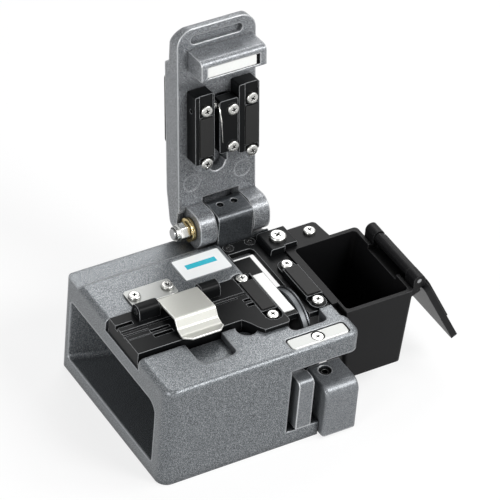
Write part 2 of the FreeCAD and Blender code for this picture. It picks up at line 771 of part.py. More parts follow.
def make_platform():
    body = subpart("fibre_platform")
    prism(body, "XY", PLATFORM_BOTTOM, "platform_top",
          platform_outline("0", "platform_left", "platform_front", "platform_back"))
    # wide groove and short slots at the ends, and the thin lines beside the fibre
    clamp_left = "left_clamp_x - clamp_bar_width / 2 - seat_gap"
    for start, end, front, back, depth in (
            ("-1", "8.5", "46", "48", "slot_depth"),
            ("-1", "12.5", "39.8", "40.4", "groove_depth"),
            ("-1", "13", "36.8", "37.2", "groove_depth"),
            ("12.5", "22", "37.5", "39", "slot_depth"),
            ("12.5", "22", "33.9", "35.8", "slot_depth"),
            (f"{clamp_left} - 3.4", clamp_left, "37.5", "39", "slot_depth"),
            (f"{clamp_left} - 3.4", clamp_left, "33.9", "35.8", "slot_depth"),
            ("47", "lobe_left + 1", "40.9", "41.6", "groove_depth")):
        cut(body, "YZ", start, end,
            box(front, back, f"platform_top - {depth}", "platform_top + 1"))
    # V groove that the fibre lies in
    cut(body, "YZ", "-1", "platform_right + 1", [
        ("fibre_line", "platform_top - fibre_groove_depth"),
        ("fibre_line + fibre_groove_depth", "platform_top + 0.2"),
        ("fibre_line - fibre_groove_depth", "platform_top + 0.2"),
    ])
    # two barrels that carry the pin of the clip
    for start, end in BARRELS:
        prism(body, "YZ", start, end, [
            ("clip_axis_y - barrel_radius - 1", "platform_top - 0.5"),
            ("platform_back", "platform_top - 0.5"),
            ("platform_back", "platform_top + 1"),
            ("clip_axis_y + barrel_radius", "clip_axis_z + barrel_radius",
             "barrel_radius - 0.1"),
            ("clip_axis_y - barrel_radius", "clip_axis_z + barrel_radius",
             "barrel_radius - 0.1"),
        ])
    cut(body, "YZ", "barrel_left_start - 1", f"{BARREL_RIGHT_END} + 1",
        ("circle", "clip_axis_y", "clip_axis_z", "clip_pin_radius + shaft_gap"))
    # seat of the left clamp bar
    cut(body, "XY", "platform_top - clamp_bar_height", "platform_top + 1",
        clamp_bar_outline("left_clamp_x", "seat_gap"))
    drill(body, LEFT_CLAMP_SCREWS[:1], PLATFORM_BOTTOM, "platform_top")
    cut(body, "XY", "platform_top - clamp_bar_height - 2", "platform_top",
        ("circle", *LEFT_CLAMP_SCREWS[1], "shank_radius + shaft_gap"))
    return body


def clamp_bar_outline(middle, gap):
    return box(f"{middle} - clamp_bar_width / 2 - {gap}",
               f"{middle} + clamp_bar_width / 2 + {gap}",
               f"clamp_centre_y - clamp_bar_length / 2 - {gap}", f"{CLAMP_BACK} + {gap}",
               "clamp_bar_width / 2 - 0.1")


def make_clip():
    pin = subpart("clip_pin")
    prism(pin, "YZ", "barrel_left_start + 0.3", f"{BARREL_RIGHT_END} - 0.3",
          ("circle", "clip_axis_y", "clip_axis_z", "clip_pin_radius"))
    clip = subpart("fibre_clip")
    y, z = "clip_axis_y", "clip_axis_z"
    curl = "(clip_pin_radius + shaft_gap + clip_sheet)"
    rise = "platform_top"
    prism(clip, "YZ", "clip_left", CLIP_RIGHT, [
        (y, f"{z} + {curl}"),
        ("34.5", f"{rise} + 6.4", "1.2"),
        ("31.6", f"{rise} + 2.4", "1.6"),
        ("28.2", f"{rise} + 1.3", "2"),
        ("clip_front", f"{rise} + 2.6"),
        ("clip_front - 0.2", f"{rise} + 1.8"),
        ("28.4", f"{rise} + 0.4", "1.2"),
        ("32.2", f"{rise} + 1.6", "0.8"),
        ("35", f"{rise} + 5.5", "0.5"),
        (y, f"{z} + {curl} - clip_sheet"),
    ])
    prism(clip, "YZ", "clip_left", CLIP_RIGHT, ("circle", y, z, curl))
    cut(clip, "YZ", "clip_left - 1", f"{CLIP_RIGHT} + 1",
        ("circle", y, z, "clip_pin_radius + shaft_gap"))
    for edge, inwards in (("clip_left", "+"), (CLIP_RIGHT, "-")):
        outwards = f"{edge} {inwards} (-1)"
        cut(clip, "XY", rise, f"{rise} + 5", [
            (outwards, "clip_front - 1"),
            (f"{edge} {inwards} (clip_corner + 1)", "clip_front - 1"),
            (outwards, "clip_front + clip_corner + 1"),
        ])
    plate = subpart("spring_plate")
    top = "body_height"
    prism(plate, "XY", top, f"{top} + spring_plate_thickness",
          box("spring_plate_left", "spring_plate_left + spring_plate_width",
              "spring_plate_front", "spring_plate_front + spring_plate_depth", "1.5"))
    drill(plate, SPRING_PLATE_SCREWS, f"{top} - 1", f"{top} + 3")
    make_screws("spring_plate_screws", SPRING_PLATE_SCREWS,
                "(body_height + spring_plate_thickness)", "6")


# ---------------------------------------------------------------- lower clamps and deck

def make_clamp_bar(label, middle, low):
    body = subpart(label)
    prism(body, "XY", low, "platform_top", clamp_bar_outline(middle, "0"))
    for start, end in (("- clamp_bar_length / 2 - 1", f"- {HEAD_REACH}"),
                       (HEAD_REACH, "clamp_bar_length / 2 + 1")):
        cut(body, "XY", LOWER_SEAT, "platform_top + 1",
            box(f"{middle} - clamp_bar_width", f"{middle} + clamp_bar_width",
                f"clamp_centre_y + ({start})", f"clamp_centre_y + ({end})"))
    cut(body, "XY", "platform_top - rubber_sink", "platform_top + 1",
        rubber_outline(middle, "clamp_centre_y", "seat_gap"))
    drill(body, [(middle, f"clamp_centre_y {end}") for end in CLAMP_ENDS], low,
          "platform_top")
    return body


def rubber_outline(middle, centre, gap):
    return box(f"{middle} - rubber_width / 2 - {gap}", f"{middle} + rubber_width / 2 + {gap}",
               f"{centre} - rubber_length / 2 - {gap}", f"{centre} + rubber_length / 2 + {gap}")


def make_lower_clamps():
    make_clamp_bar("left_lower_clamp", "left_clamp_x", "platform_top - clamp_bar_height")
    make_clamp_bar("right_lower_clamp", "right_clamp_x", "deck_top")
    for label, middle in (("left_lower_rubber", "left_clamp_x"),
                          ("right_lower_rubber", "right_clamp_x")):
        rubber = subpart(label)
        prism(rubber, "XY", "platform_top - rubber_sink", "platform_top + rubber_proud",
              rubber_outline(middle, "clamp_centre_y", "0"))
    make_screws("lower_clamp_screws", LEFT_CLAMP_SCREWS + RIGHT_CLAMP_SCREWS, LOWER_SEAT, "4.5")


def make_deck():
    body = subpart("bay_deck")
    prism(body, "XY", DECK_BOTTOM, "deck_top", [
        ("well_left + move_gap", "deck_front"),
        ("slot_left", "deck_front"),
        ("slot_left", "slot_back - slot_arm_depth"),
        ("well_left + 1.4", "slot_back - slot_arm_depth"),
        ("well_left + 1.4", "slot_back"),
        ("slot_right", "slot_back", "2.5"),
        ("slot_right", "deck_right_front"),
        ("deck_right", "deck_right_front"),
        ("deck_right", "well_back - move_gap"),
        ("well_left + move_gap", "well_back - move_gap"),
    ])
    # room for the end of the fibre platform and of the clamp bar on it
    cut(body, "XY", DECK_BOTTOM + " - 1", "deck_top + 1",
        box("well_left", "platform_right + move_gap", "deck_front - 1",
            f"{CLAMP_BACK} + move_gap"))
    cut(body, "XY", "deck_top - small_head_height", "deck_top + 1",
        *circles(DECK_SCREWS, "small_head_radius + seat_gap"))
    drill(body, DECK_SCREWS, DECK_BOTTOM + " - 1", "deck_top", SMALL)
    drill(body, RIGHT_CLAMP_SCREWS, DECK_BOTTOM + " - 1", "deck_top + 1")
    drill(body, BRACKET_SCREW, DECK_BOTTOM + " - 1", "deck_top + 1", LARGE)
    make_screws("deck_screws", DECK_SCREWS, "(deck_top - small_head_height)", "4", SMALL)
    strip = subpart("support_strip")
    prism(strip, "XY", "deck_top", "deck_top + strip_thickness",
          box("strip_left", "strip_left + strip_width", "strip_front",
              "strip_front + strip_length"))


# ---------------------------------------------------------------- hinge of the lid

HINGE_SET_SCREWS = [("knuckle_left + knuckle_width * 0.3", "hinge_y"),
                    ("knuckle_left + knuckle_width * 0.7", "hinge_y")]
LUG_LEFT = "(knuckle_left - move_gap - lug_width)"
LUG_RIGHT = f"({KNUCKLE_RIGHT} + move_gap + lug_width)"
WASHERS_LEFT = f"({LUG_LEFT} - move_gap - 2 * hinge_washer_thickness - seat_gap)"


def make_hinge():
    block = subpart("hinge_block")
    top = "hinge_z + knuckle_radius"
    prism(block, "YZ", "knuckle_left", KNUCKLE_RIGHT, [
        ("hinge_y - knuckle_front", SHELF_TOP),
        ("hinge_y + knuckle_radius - 4.5", SHELF_TOP),
        ("hinge_y + knuckle_radius", "hinge_z - 2", "2"),
        ("hinge_y + knuckle_radius", top, "knuckle_radius - 1"),
        ("hinge_y - knuckle_front", top, "3"),
    ])
    cut(block, "YZ", "knuckle_left - 1", f"{KNUCKLE_RIGHT} + 1",
        ("circle", "hinge_y", "hinge_z", "hinge_pin_radius + shaft_gap"))
    cut(block, "XY", "hinge_z", f"{top} + 1", *circles(HINGE_SET_SCREWS, "1.6"))
    sets = subpart("hinge_set_screws")
    prism(sets, "XY", "hinge_z + hinge_pin_radius + shaft_gap", f"{top} - 1.2",
          *circles(HINGE_SET_SCREWS, "1.5"))
    pin = subpart("hinge_pin")
    nut_left = f"({WASHERS_LEFT} - hinge_head_length)"
    prism(pin, "YZ", f"{nut_left} - 0.8", f"{LUG_RIGHT} - 1.5",
          ("circle", "hinge_y", "hinge_z", "hinge_pin_radius"))
    nut = subpart("hinge_nut")
    prism(nut, "YZ", nut_left, WASHERS_LEFT, hexagon("hinge_y", "hinge_z", "hinge_nut_radius"))
    cut(nut, "YZ", f"{nut_left} - 1", f"{WASHERS_LEFT} + 1",
        ("circle", "hinge_y", "hinge_z", "hinge_pin_radius + shaft_gap"))
    washers = subpart("hinge_washer")
    for start in (WASHERS_LEFT, f"{WASHERS_LEFT} + hinge_washer_thickness + seat_gap"):
        prism(washers, "YZ", start, f"{start} + hinge_washer_thickness",
              ("circle", "hinge_y", "hinge_z", "hinge_washer_radius"))
    cut(washers, "YZ", f"{WASHERS_LEFT} - 1", f"{LUG_LEFT} + 1",
        ("circle", "hinge_y", "hinge_z", "hinge_pin_radius + shaft_gap"))


def hexagon(x, y, radius):
    """Corners of a nut, given the radius through its corners."""
    corners = []
    for k in range(6):
        turn = math.radians(60 * k + 30)
        corners.append((f"{x} + {radius} * {math.cos(turn):.6f}",
                        f"{y} + {radius} * {math.sin(turn):.6f}"))
    return corners


# ---------------------------------------------------------------- lid

UPPER_NEAR = "-upper_near"
UPPER_FAR = "-upper_far"
UPPER_CENTRE = "-(hinge_y - clamp_centre_y - upper_shift)"
UPPER_SCREWS = [(x, f"{UPPER_CENTRE} {end}") for x in ("left_clamp_x", "right_clamp_x")
                for end in CLAMP_ENDS]
UPPER_SEAT = "(upper_seat_sink - upper_face)"
ANVIL_PIN_Y = "-(anvil_far - anvil_pivot_inset)"
ANVIL_SCREWS = [("anvil_left + anvil_width - anvil_screw_inset", "-anvil_near - 2.4"),
                ("anvil_left + anvil_width - anvil_screw_inset", "-anvil_far + 5.2")]
MAGNET_MIDDLE = "(lip_left + lip_width / 2 - magnet_offset)"
MAGNET_NEAR = "-(lip_near + (lip_far - lip_near - magnet_width) / 2 - 0.8)"


def make_lid_shell():
    body = subpart("lid_shell", "lid")
    tip = "-lid_length"
    outer = LID_OUTER
    prism(body, "YZ", "lid_left", LID_RIGHT, [
        (tip, "lid_inner"),
        (tip, "lid_inner + lid_tip_thickness", "1.5"),
        (f"{tip} + 7", f"{outer} - lid_tip_step - 0.9", "5"),
        ("-lid_tip_start - 2.6", f"{outer} - lid_tip_step", "1"),
        ("-lid_tip_start", outer, "1.5"),
        ("-14", f"{outer} - 0.4", "20"),
        ("lid_tail", f"{outer} - 3.2", "3"),
        ("lid_tail", "lid_inner"),
    ])
    # lugs that take the hinge pin
    for start, end in ((LUG_LEFT, f"{LUG_LEFT} + lug_width"),
                       (f"{LUG_RIGHT} - lug_width", LUG_RIGHT)):
        prism(body, "YZ", start, end, [
            ("-knuckle_radius", "lid_inner + 4"),
            ("-knuckle_radius", "-knuckle_radius", "lug_radius"),
            ("knuckle_radius", "-knuckle_radius", "lug_low_radius"),
            ("knuckle_radius", "lid_inner - 3"),
            ("lid_tail", "lid_inner + 4"),
        ])
    # block at the lip, which holds the magnet
    prism(body, "YZ", "lip_left", "lip_left + lip_width", [
        ("-lip_near", "lid_inner + 1"),
        ("-lip_near", "-lip_face", "0.8"),
        ("-lip_far", "-lip_face", "lip_radius"),
        ("-lip_far - 0.4", "lid_inner + 1"),
    ])
    # rounded corners at the tip
    for side, edge in (("", "lid_left"), ("-", LID_RIGHT)):
        sign = "+" if side == "" else "-"
        inwards = f"{edge} {sign} (lid_tip_radius + 2)"
        outwards = f"{edge} {sign} (-1)"
        cut(body, "XY", "-1", f"{outer} + 1", [
            (outwards, f"{tip} - 1"),
            (inwards, f"{tip} - 1"),
            (inwards, tip),
            (edge, tip, "lid_tip_radius"),
            (edge, f"{tip} + lid_tip_radius + 2"),
            (outwards, f"{tip} + lid_tip_radius + 2"),
        ])
    # relief for the fixed knuckle, and the bore of the pin
    cut(body, "YZ", "knuckle_left - move_gap", f"{KNUCKLE_RIGHT} + move_gap", [
        ("-knuckle_radius - 2.6", "-knuckle_radius - 1"),
        ("knuckle_radius + 1", "-knuckle_radius - 1"),
        ("knuckle_radius + 1", "knuckle_radius + 1.7"),
        ("-knuckle_radius - 2.6", "knuckle_radius + 1.7", "4"),
    ])
    cut(body, "YZ", f"{LUG_LEFT} - 1", f"{LUG_RIGHT} + 1",
        ("circle", "0", "0", "hinge_pin_radius + shaft_gap"))
    cut(body, "XY", "lid_inner - 1", "hinge_washer_radius + move_gap",
        box("lid_left - 1", LUG_LEFT, "-hinge_washer_radius - 1", "lid_tail + 1"))
    # magnet window, finger slot, rings, keyhole pocket of the anvil
    cut(body, "XY", "-lip_face - 1", "-lip_face + magnet_thickness",
        box(f"{MAGNET_MIDDLE} - magnet_length / 2 - seat_gap",
            f"{MAGNET_MIDDLE} + magnet_length / 2 + magnet_window",
            f"{MAGNET_NEAR} - magnet_width - seat_gap", f"{MAGNET_NEAR} + seat_gap"))
    cut(body, "XY", "lid_inner - 1", "lid_inner + finger_slot_sink",
        box(f"{LID_MIDDLE} - finger_slot_width / 2", f"{LID_MIDDLE} + finger_slot_width / 2",
            "-finger_slot_centre - finger_slot_depth / 2",
            "-finger_slot_centre + finger_slot_depth / 2", "finger_slot_depth / 2 - 0.05"))
    cut(body, "XY", "lid_inner - 1", "lid_inner + ring_sink",
        *circles([("lid_left + ring_inset", "-ring_near"),
                  (f"{LID_RIGHT} - ring_inset", "-ring_near")], "ring_radius"))
    middle = "(anvil_left + anvil_width / 2)"
    cut(body, "XY", "lid_inner - 1", "lid_inner + pocket_depth",
        ("circle", LID_MIDDLE, "-keyhole_centre", "keyhole_radius"))
    cut(body, "XY", "lid_inner - 1", "lid_inner + pocket_depth",
        box(f"{middle} - pocket_half", f"{middle} + pocket_half", "-anvil_far",
            "-keyhole_centre"))
    drill(body, UPPER_SCREWS, "lid_inner - 1", "lid_inner + 4")
    return body


def make_lid_trim():
    pad = subpart("lid_top_pad", "lid")
    prism(pad, "XY", LID_OUTER, f"{LID_OUTER} + lid_pad_thickness",
          box("lid_left + lid_pad_side", f"{LID_RIGHT} - lid_pad_side",
              "-lid_pad_near - lid_pad_length", "-lid_pad_near", "4"))
    magnet = subpart("lid_magnet", "lid")
    prism(magnet, "XY", "-lip_face + 0.3", "-lip_face + magnet_thickness",
          box(f"{MAGNET_MIDDLE} - magnet_length / 2", f"{MAGNET_MIDDLE} + magnet_length / 2",
              f"{MAGNET_NEAR} - magnet_width", MAGNET_NEAR, "0.6"))


def make_upper_clamp(side, x0, x1, middle):
    body = subpart(f"{side}_upper_clamp", "lid")
    prism(body, "XY", "-upper_face", "lid_inner", box(x0, x1, UPPER_FAR, UPPER_NEAR, "0.8"))
    for start, end in (("-clamp_bar_length", f"- {HEAD_REACH}"),
                       (HEAD_REACH, "clamp_bar_length")):
        cut(body, "XY", "-upper_face - 1", UPPER_SEAT,
            box(f"{middle} - rubber_width / 2", f"{middle} + rubber_width / 2",
                f"{UPPER_CENTRE} + ({start})", f"{UPPER_CENTRE} + ({end})"))
    cut(body, "XY", "-upper_face - 1", "-upper_face + rubber_sink",
        rubber_outline(middle, UPPER_CENTRE, "seat_gap"))
    drill(body, [(middle, f"{UPPER_CENTRE} {end}") for end in CLAMP_ENDS],
          "-upper_face - 1", "lid_inner + 1")
    cut(body, "YZ", f"({x0}) - 1", f"({x1}) + 1",
        ("circle", ANVIL_PIN_Y, "anvil_pin_height", "anvil_pin_radius + shaft_gap"))
    rubber = subpart(f"{side}_upper_rubber", "lid")
    prism(rubber, "XY", "-upper_face - upper_rubber_proud", "-upper_face + rubber_sink",
          rubber_outline(middle, UPPER_CENTRE, "0"))


def make_anvil():
    arm = subpart("anvil_arm", "lid")
    right = "anvil_left + anvil_width"
    prism(arm, "XY", "-upper_face", "lid_inner - anvil_room",
          box("anvil_left", right, "-anvil_far", "-anvil_near", "1"))
    cut(arm, "XY", "-upper_face - 1", UPPER_SEAT,
        *circles(ANVIL_SCREWS, "head_radius + seat_gap"))
    cut(arm, "YZ", "anvil_left - 1", f"{right} + 1",
        ("circle", ANVIL_PIN_Y, "anvil_pin_height", "anvil_pin_radius + shaft_gap"))
    drill(arm, ANVIL_SCREWS, "-upper_face", "lid_inner")
    pin = subpart("anvil_pin", "lid")
    prism(pin, "YZ", "upper_left_end - 1.5", "upper_right_start + 1.5",
          ("circle", ANVIL_PIN_Y, "anvil_pin_height", "anvil_pin_radius"))
    make_screws("anvil_screws", ANVIL_SCREWS, UPPER_SEAT, "3", PAN, "lid", -1)
    spring = subpart("anvil_spring", "lid")
    prism(spring, "YZ", "anvil_left - 1.1", "anvil_left - 0.4",
          ("circle", ANVIL_PIN_Y, "anvil_pin_height", "2.1"))
    cut(spring, "YZ", "anvil_left - 2", "anvil_left",
        ("circle", ANVIL_PIN_Y, "anvil_pin_height", "anvil_pin_radius + shaft_gap"))
    prism(spring, "YZ", "anvil_left - 1.1", "anvil_left - 0.4",
          box(f"{ANVIL_PIN_Y} + 1.6", f"{ANVIL_PIN_Y} + 16", "1.4", "2"))


def make_lid():
    make_lid_shell()
    make_lid_trim()
    make_upper_clamp("left", "upper_left_start", "upper_left_end", "left_clamp_x")
    make_upper_clamp("right", "upper_right_start", "upper_right_end", "right_clamp_x")
    make_screws("upper_clamp_screws", UPPER_SCREWS, UPPER_SEAT, "8", PAN, "lid", -1)
    make_anvil()


# ---------------------------------------------------------------- carriage and wheel

PUSH_SCREW = [("push_screw_x", "push_screw_y")]
BEARING_FRONT = "(tray_front + bearing_inset)"
HOLDER_BACK = "(tray_front + holder_length)"


def make_rail():
    rail = subpart("linear_rail")
    half = "rail_width / 2"
    prism(rail, "XZ", "rail_front", "rail_front + rail_length", [
        (f"rail_centre - {half}", "bay_floor"),
        (f"rail_centre + {half}", "bay_floor"),
        (f"rail_centre + {half}", "bay_floor + 1.8"),
        (f"rail_centre + {half} - 0.6", "bay_floor + 2.6"),
        (f"rail_centre + {half}", "bay_floor + 3.4"),
        (f"rail_centre + {half}", RAIL_TOP),
        (f"rail_centre - {half}", RAIL_TOP),
        (f"rail_centre - {half}", "bay_floor + 3.4"),
        (f"rail_centre - {half} + 0.6", "bay_floor + 2.6"),
        (f"rail_centre - {half}", "bay_floor + 1.8"),
    ])
    cut(rail, "XY", RAIL_SEAT, f"{RAIL_TOP} + 1",
        *circles(RAIL_SCREWS, "small_head_radius + seat_gap"))
    drill(rail, RAIL_SCREWS, "bay_floor - 1", RAIL_TOP, SMALL)
    make_screws("rail_screws", RAIL_SCREWS, RAIL_SEAT, RAIL_SCREW_LENGTH, SMALL)


def make_carriage():
    bearing = subpart("rail_bearing")
    half = "bearing_width / 2"
    low = "bay_floor + 1.3"
    prism(bearing, "XZ", BEARING_FRONT, f"{BEARING_FRONT} + bearing_length",
          box(f"rail_centre - {half}", f"rail_centre + {half}", low, "bearing_top"))
    gap = "move_gap / 2"
    cut(bearing, "XZ", f"{BEARING_FRONT} - 1", f"{BEARING_FRONT} + bearing_length + 1",
        box(f"rail_centre - rail_width / 2 - {gap}", f"rail_centre + rail_width / 2 + {gap}",
            f"{low} - 1", f"{RAIL_TOP} + {gap}"))
    tray = subpart("carriage_tray")
    prism(tray, "XY", "bearing_top", "tray_top",
          box("tray_left", "tray_right", "tray_front", "tray_front + tray_length"))
    drill(tray, PUSH_SCREW, "bearing_top - 1", "tray_top + 1")
    holder = subpart("blade_holder")
    nose_front = "-nose_proud"
    holder_right = "(nose_left + holder_width)"
    holder_top = "bay_ceiling - 2 * move_gap"
    prism(holder, "YZ", "nose_left", holder_right, [
        ("-nose_proud + 4", "tray_top"),
        (HOLDER_BACK, "tray_top"),
        (HOLDER_BACK, "tray_top + 9", "3"),
        ("wheel_y + 7", holder_top, "6"),
        ("wheel_y - 7", holder_top, "6"),
        ("wheel_y - 12", "nose_top", "3"),
        ("-nose_proud + 4", "nose_top"),
    ])
    prism(holder, "YZ", "nose_left", "nose_left + nose_width", [
        (nose_front, "nose_bottom"),
        ("tray_front - seat_gap", "nose_bottom"),
        ("tray_front - seat_gap", "nose_top"),
        (nose_front, "nose_top", "3"),
    ])
    cut(holder, "YZ", "nose_left - 1", "nose_left + nose_width + 1",
        ("circle", "wheel_y", "wheel_z", "axle_radius"))
    axle = subpart("blade_axle")
    inner = "nose_left + 1"
    outer = "(wheel_left + dial_thickness + blade_thickness + move_gap)"
    prism(axle, "YZ", inner, outer, ("circle", "wheel_y", "wheel_z", "axle_radius"))
    prism(axle, "YZ", outer, f"{outer} + 1.2",
          ("circle", "wheel_y", "wheel_z", "axle_radius + 2"))
    prism(axle, "YZ", holder_right, "wheel_left - move_gap",
          ("circle", "wheel_y", "wheel_z", "axle_radius + 1.6"))
    push = subpart("push_block")
    right = "push_left + push_width"
    prism(push, "YZ", "push_left", right, [
        ("-push_proud", "push_bottom"),
        ("tray_front - seat_gap", "push_bottom"),
        ("tray_front - seat_gap", "tray_top"),
        ("-push_proud + push_depth", "tray_top"),
        ("-push_proud + push_depth", "push_top"),
        ("-push_proud", "push_top", "push_radius"),
    ])
    # the block reaches back under the tray
    prism(push, "YZ", "push_left", right, box(
        "tray_front - 1", "-push_proud + push_depth", "push_bottom",
        "bearing_top - seat_gap"))
    soften(push, "1.5", lambda e: edge_along(e, 2) and edge_at(e, 1, "-push_proud"))
    cut(push, "XY", "push_top - 3", "push_top + 1", *circles(PUSH_SCREW, "head_radius + 0.2"))
    drill(push, PUSH_SCREW, "tray_top", "push_top", PAN)
    screw = subpart("push_block_screw")
    seat = "push_top - 3"
    prism(screw, "XY", seat, f"{seat} + 2.2", *circles(PUSH_SCREW, "head_radius"))
    prism(screw, "XY", "bearing_top", seat, *circles(PUSH_SCREW, "shank_radius"))


def make_wheel():
    hub = "(axle_radius + shaft_gap)"
    dial = subpart("dial_wheel")
    middle = "(wheel_left + dial_thickness)"
    prism(dial, "YZ", "wheel_left", middle,
          ("circle", "wheel_y", "wheel_z", "dial_radius"))
    cut(dial, "YZ", "wheel_left - 1", f"{middle} + 1",
        ("circle", "wheel_y", "wheel_z", hub))
    blade = subpart("blade_disc")
    prism(blade, "YZ", middle, f"{middle} + blade_thickness",
          ("circle", "wheel_y", "wheel_z", "blade_radius"))
    soften(blade, "blade_thickness * 0.4", lambda e: edge_at(e, 0, middle)
           and e.Length > 2 * math.pi * number("dial_radius"), "Chamfer")
    cut(blade, "YZ", f"{middle} - 1", f"{middle} + blade_thickness + 1",
        ("circle", "wheel_y", "wheel_z", hub))


# ---------------------------------------------------------------- bin and flap

def make_bin():
    body = subpart("scrap_bin")
    right, back = "bin_right", "bin_back"
    taper, rear = "bin_taper_side", "bin_taper_back"
    loft(body, "Additive", "XY",
         ("bin_bottom", box(f"bin_wall_left + {taper}", f"{right} - {taper}", "bin_front",
                            f"{back} - {rear}", "2")),
         ("bin_top - bin_rim_height", box("bin_wall_left", right, "bin_front", back, "2")))
    prism(body, "XY", "bin_top - bin_rim_height", "bin_top",
          box("bin_rim_left", right, "bin_front", back, "2"))
    cut(body, "XY", "bin_top - bin_rim_height", "bin_top + 1",
        box("bin_rim_left - 1", "body_width + 2 * seat_gap", "bin_front - 1",
            "deck_right_front"))
    # flange behind the bin, and ears for the flap's pin
    prism(body, "XY", "bin_top - flange_thickness", "bin_top", [
        ("flange_left", f"{back} - 3"), ("flange_right + 1.5", f"{back} - 3"),
        ("flange_right", "flange_back", "2"), ("flange_left", "flange_back")])
    for start in ("ear_front", "ear_back - ear_width"):
        prism(body, "XZ", start, f"{start} + ear_width", [
            (f"{right} - bin_wall", "bin_top - 4"),
            (f"{right} - 0.2", "bin_top - 4"),
            ("flap_axis_x + ear_radius", "bin_top", "1"),
            ("flap_axis_x + ear_radius", "flap_axis_z + ear_radius", "ear_radius - 0.1"),
            ("flap_axis_x - ear_radius", "flap_axis_z + ear_radius", "ear_radius - 0.1"),
            ("flap_axis_x - ear_radius", "bin_top - 0.5"),
            (f"{right} - bin_wall", "bin_top - 0.5"),
        ])
    # between the ears the rim is lower, with a ledge under the flap's barrel
    ledge = "bin_top - bin_rim_drop"
    prism(body, "XZ", "ear_front", "ear_back", [
        (f"{right} - bin_wall", "bin_top - 5"),
        (f"{right} - 0.2", "bin_top - 5"),
        ("flap_axis_x + 1", f"{ledge} - 0.6"),
        ("flap_axis_x + 1", ledge),
        (f"{right} - bin_wall", ledge),
    ])
    cut(body, "XY", ledge, "bin_top + 1",
        box(f"{right} - bin_wall - 1", f"{right} + 1", "ear_front + ear_width + 4",
            "ear_back - ear_width"))
    # hollow, open at the top
    loft(body, "Subtractive", "XY",
         ("bin_bottom + bin_wall", box(
             f"bin_wall_left + {taper} + bin_wall", f"{right} - {taper} - bin_wall",
             "bin_front + bin_wall", f"{back} - {rear} - bin_wall", "2")),
         ("bin_top + 0.1", box(f"bin_wall_left + bin_wall", f"{right} - bin_wall",
                         "bin_front + bin_wall", f"{back} - bin_wall", "2")))
    cut(body, "XZ", "ear_front - 1", "ear_back + 1",
        ("circle", "flap_axis_x", "flap_axis_z", "flap_pin_radius + shaft_gap"))
    drill(body, FLANGE_SCREW, "bin_top - 5", "bin_top + 1")


def make_bin_mount():
    body = subpart("bin_bracket")
    low = "bin_top - flange_thickness"
    prism(body, "XZ", "bracket_front", "bracket_back", [
        ("bracket_left", "deck_top"),
        ("deck_right + seat_gap", "deck_top"),
        ("deck_right + seat_gap", f"{low} - 3"),
        ("flange_right", f"{low} - 3"),
        ("flange_right", low),
        ("flange_left - seat_gap", low),
        ("flange_left - seat_gap", "bracket_top", "1"),
        ("bracket_left", "bracket_top", "1"),
    ])
    # the bracket stands behind the bin's body
    cut(body, "XY", f"{low} - 4", "bracket_top + 1",
        box("deck_right + seat_gap", "flange_right + 1", "bracket_front - 1",
            "bin_back + seat_gap"))
    drill(body, BRACKET_SCREW, f"{low} - 4", "bracket_top + 1", LARGE)
    drill(body, FLANGE_SCREW, f"{low} - 4", f"{low} + 1")
    make_screws("bracket_screw", BRACKET_SCREW, "bracket_top", "7", LARGE)
    make_screws("flange_screw", FLANGE_SCREW, "bin_top", "5.5")


def make_flap():
    pin = subpart("flap_pin")
    prism(pin, "XZ", "ear_front + 0.2", "ear_back - 0.2",
          ("circle", "flap_axis_x", "flap_axis_z", "flap_pin_radius"))
    body = subpart("bin_flap", "flap")
    low = "(bin_top - flap_axis_z + 0.3)"
    start, end = "ear_front + ear_width + move_gap", "ear_back - ear_width - move_gap"
    reach = "(ear_radius + barrel_gap + 1.2)"
    # cover plate, and the plug under it that drops into the bin
    prism(body, "XY", low, f"{low} + flap_thickness",
          box("-flap_length", f"-{reach}", "flap_front", "flap_front + flap_width", "1.5"))
    prism(body, "XY", f"{low} - plug_thickness", low,
          box("-plug_start - plug_length", "-plug_start", "plug_front",
              "plug_front + plug_width", "2"))
    # barrel on the pin, joined to the plate between the ears
    prism(body, "XZ", start, end, [
        (f"-{reach} - 1.2", low),
        ("0.5", low, "0.4"),
        ("ear_radius - 0.4", "-1", "1.5"),
        ("ear_radius - 0.4", "ear_radius - 0.4", "ear_radius - 0.6"),
        ("-ear_radius + 0.4", "ear_radius - 0.4", "ear_radius - 0.6"),
        (f"-{reach} - 1.2", f"{low} + flap_thickness"),
    ])
    cut(body, "XZ", f"{start} - 1", f"{end} + 1",
        ("circle", "0", "0", "flap_pin_radius + shaft_gap"))


# ---------------------------------------------------------------- build, check and write

make_main_body()
make_body_trim()
make_platform()
make_clip()
make_lower_clamps()
make_deck()
make_hinge()
make_lid()
make_rail()
make_carriage()
make_wheel()
make_bin()
make_bin_mount()
make_flap()
doc.recompute()

for item in doc.Objects:
    if "Invalid" in item.State or "Error" in item.State:
        raise RuntimeError(f"{item.Label} did not compute: {item.State}")
for body in SUBPARTS:
    shape = body.Shape
    if shape.isNull() or not shape.isValid() or not shape.Solids:
        raise RuntimeError(f"{body.Label} is not a sound solid")

os.makedirs("parts", exist_ok=True)
for body in SUBPARTS:
    body.Shape.exportStep(f"parts/{body.Label}.step")
print(len(SUBPARTS), "sub-parts written")
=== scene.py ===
"""Fibre cleaver with its clamp lid and its bin open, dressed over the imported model."""
import json
import math

import bpy
from mathutils import Matrix, Vector


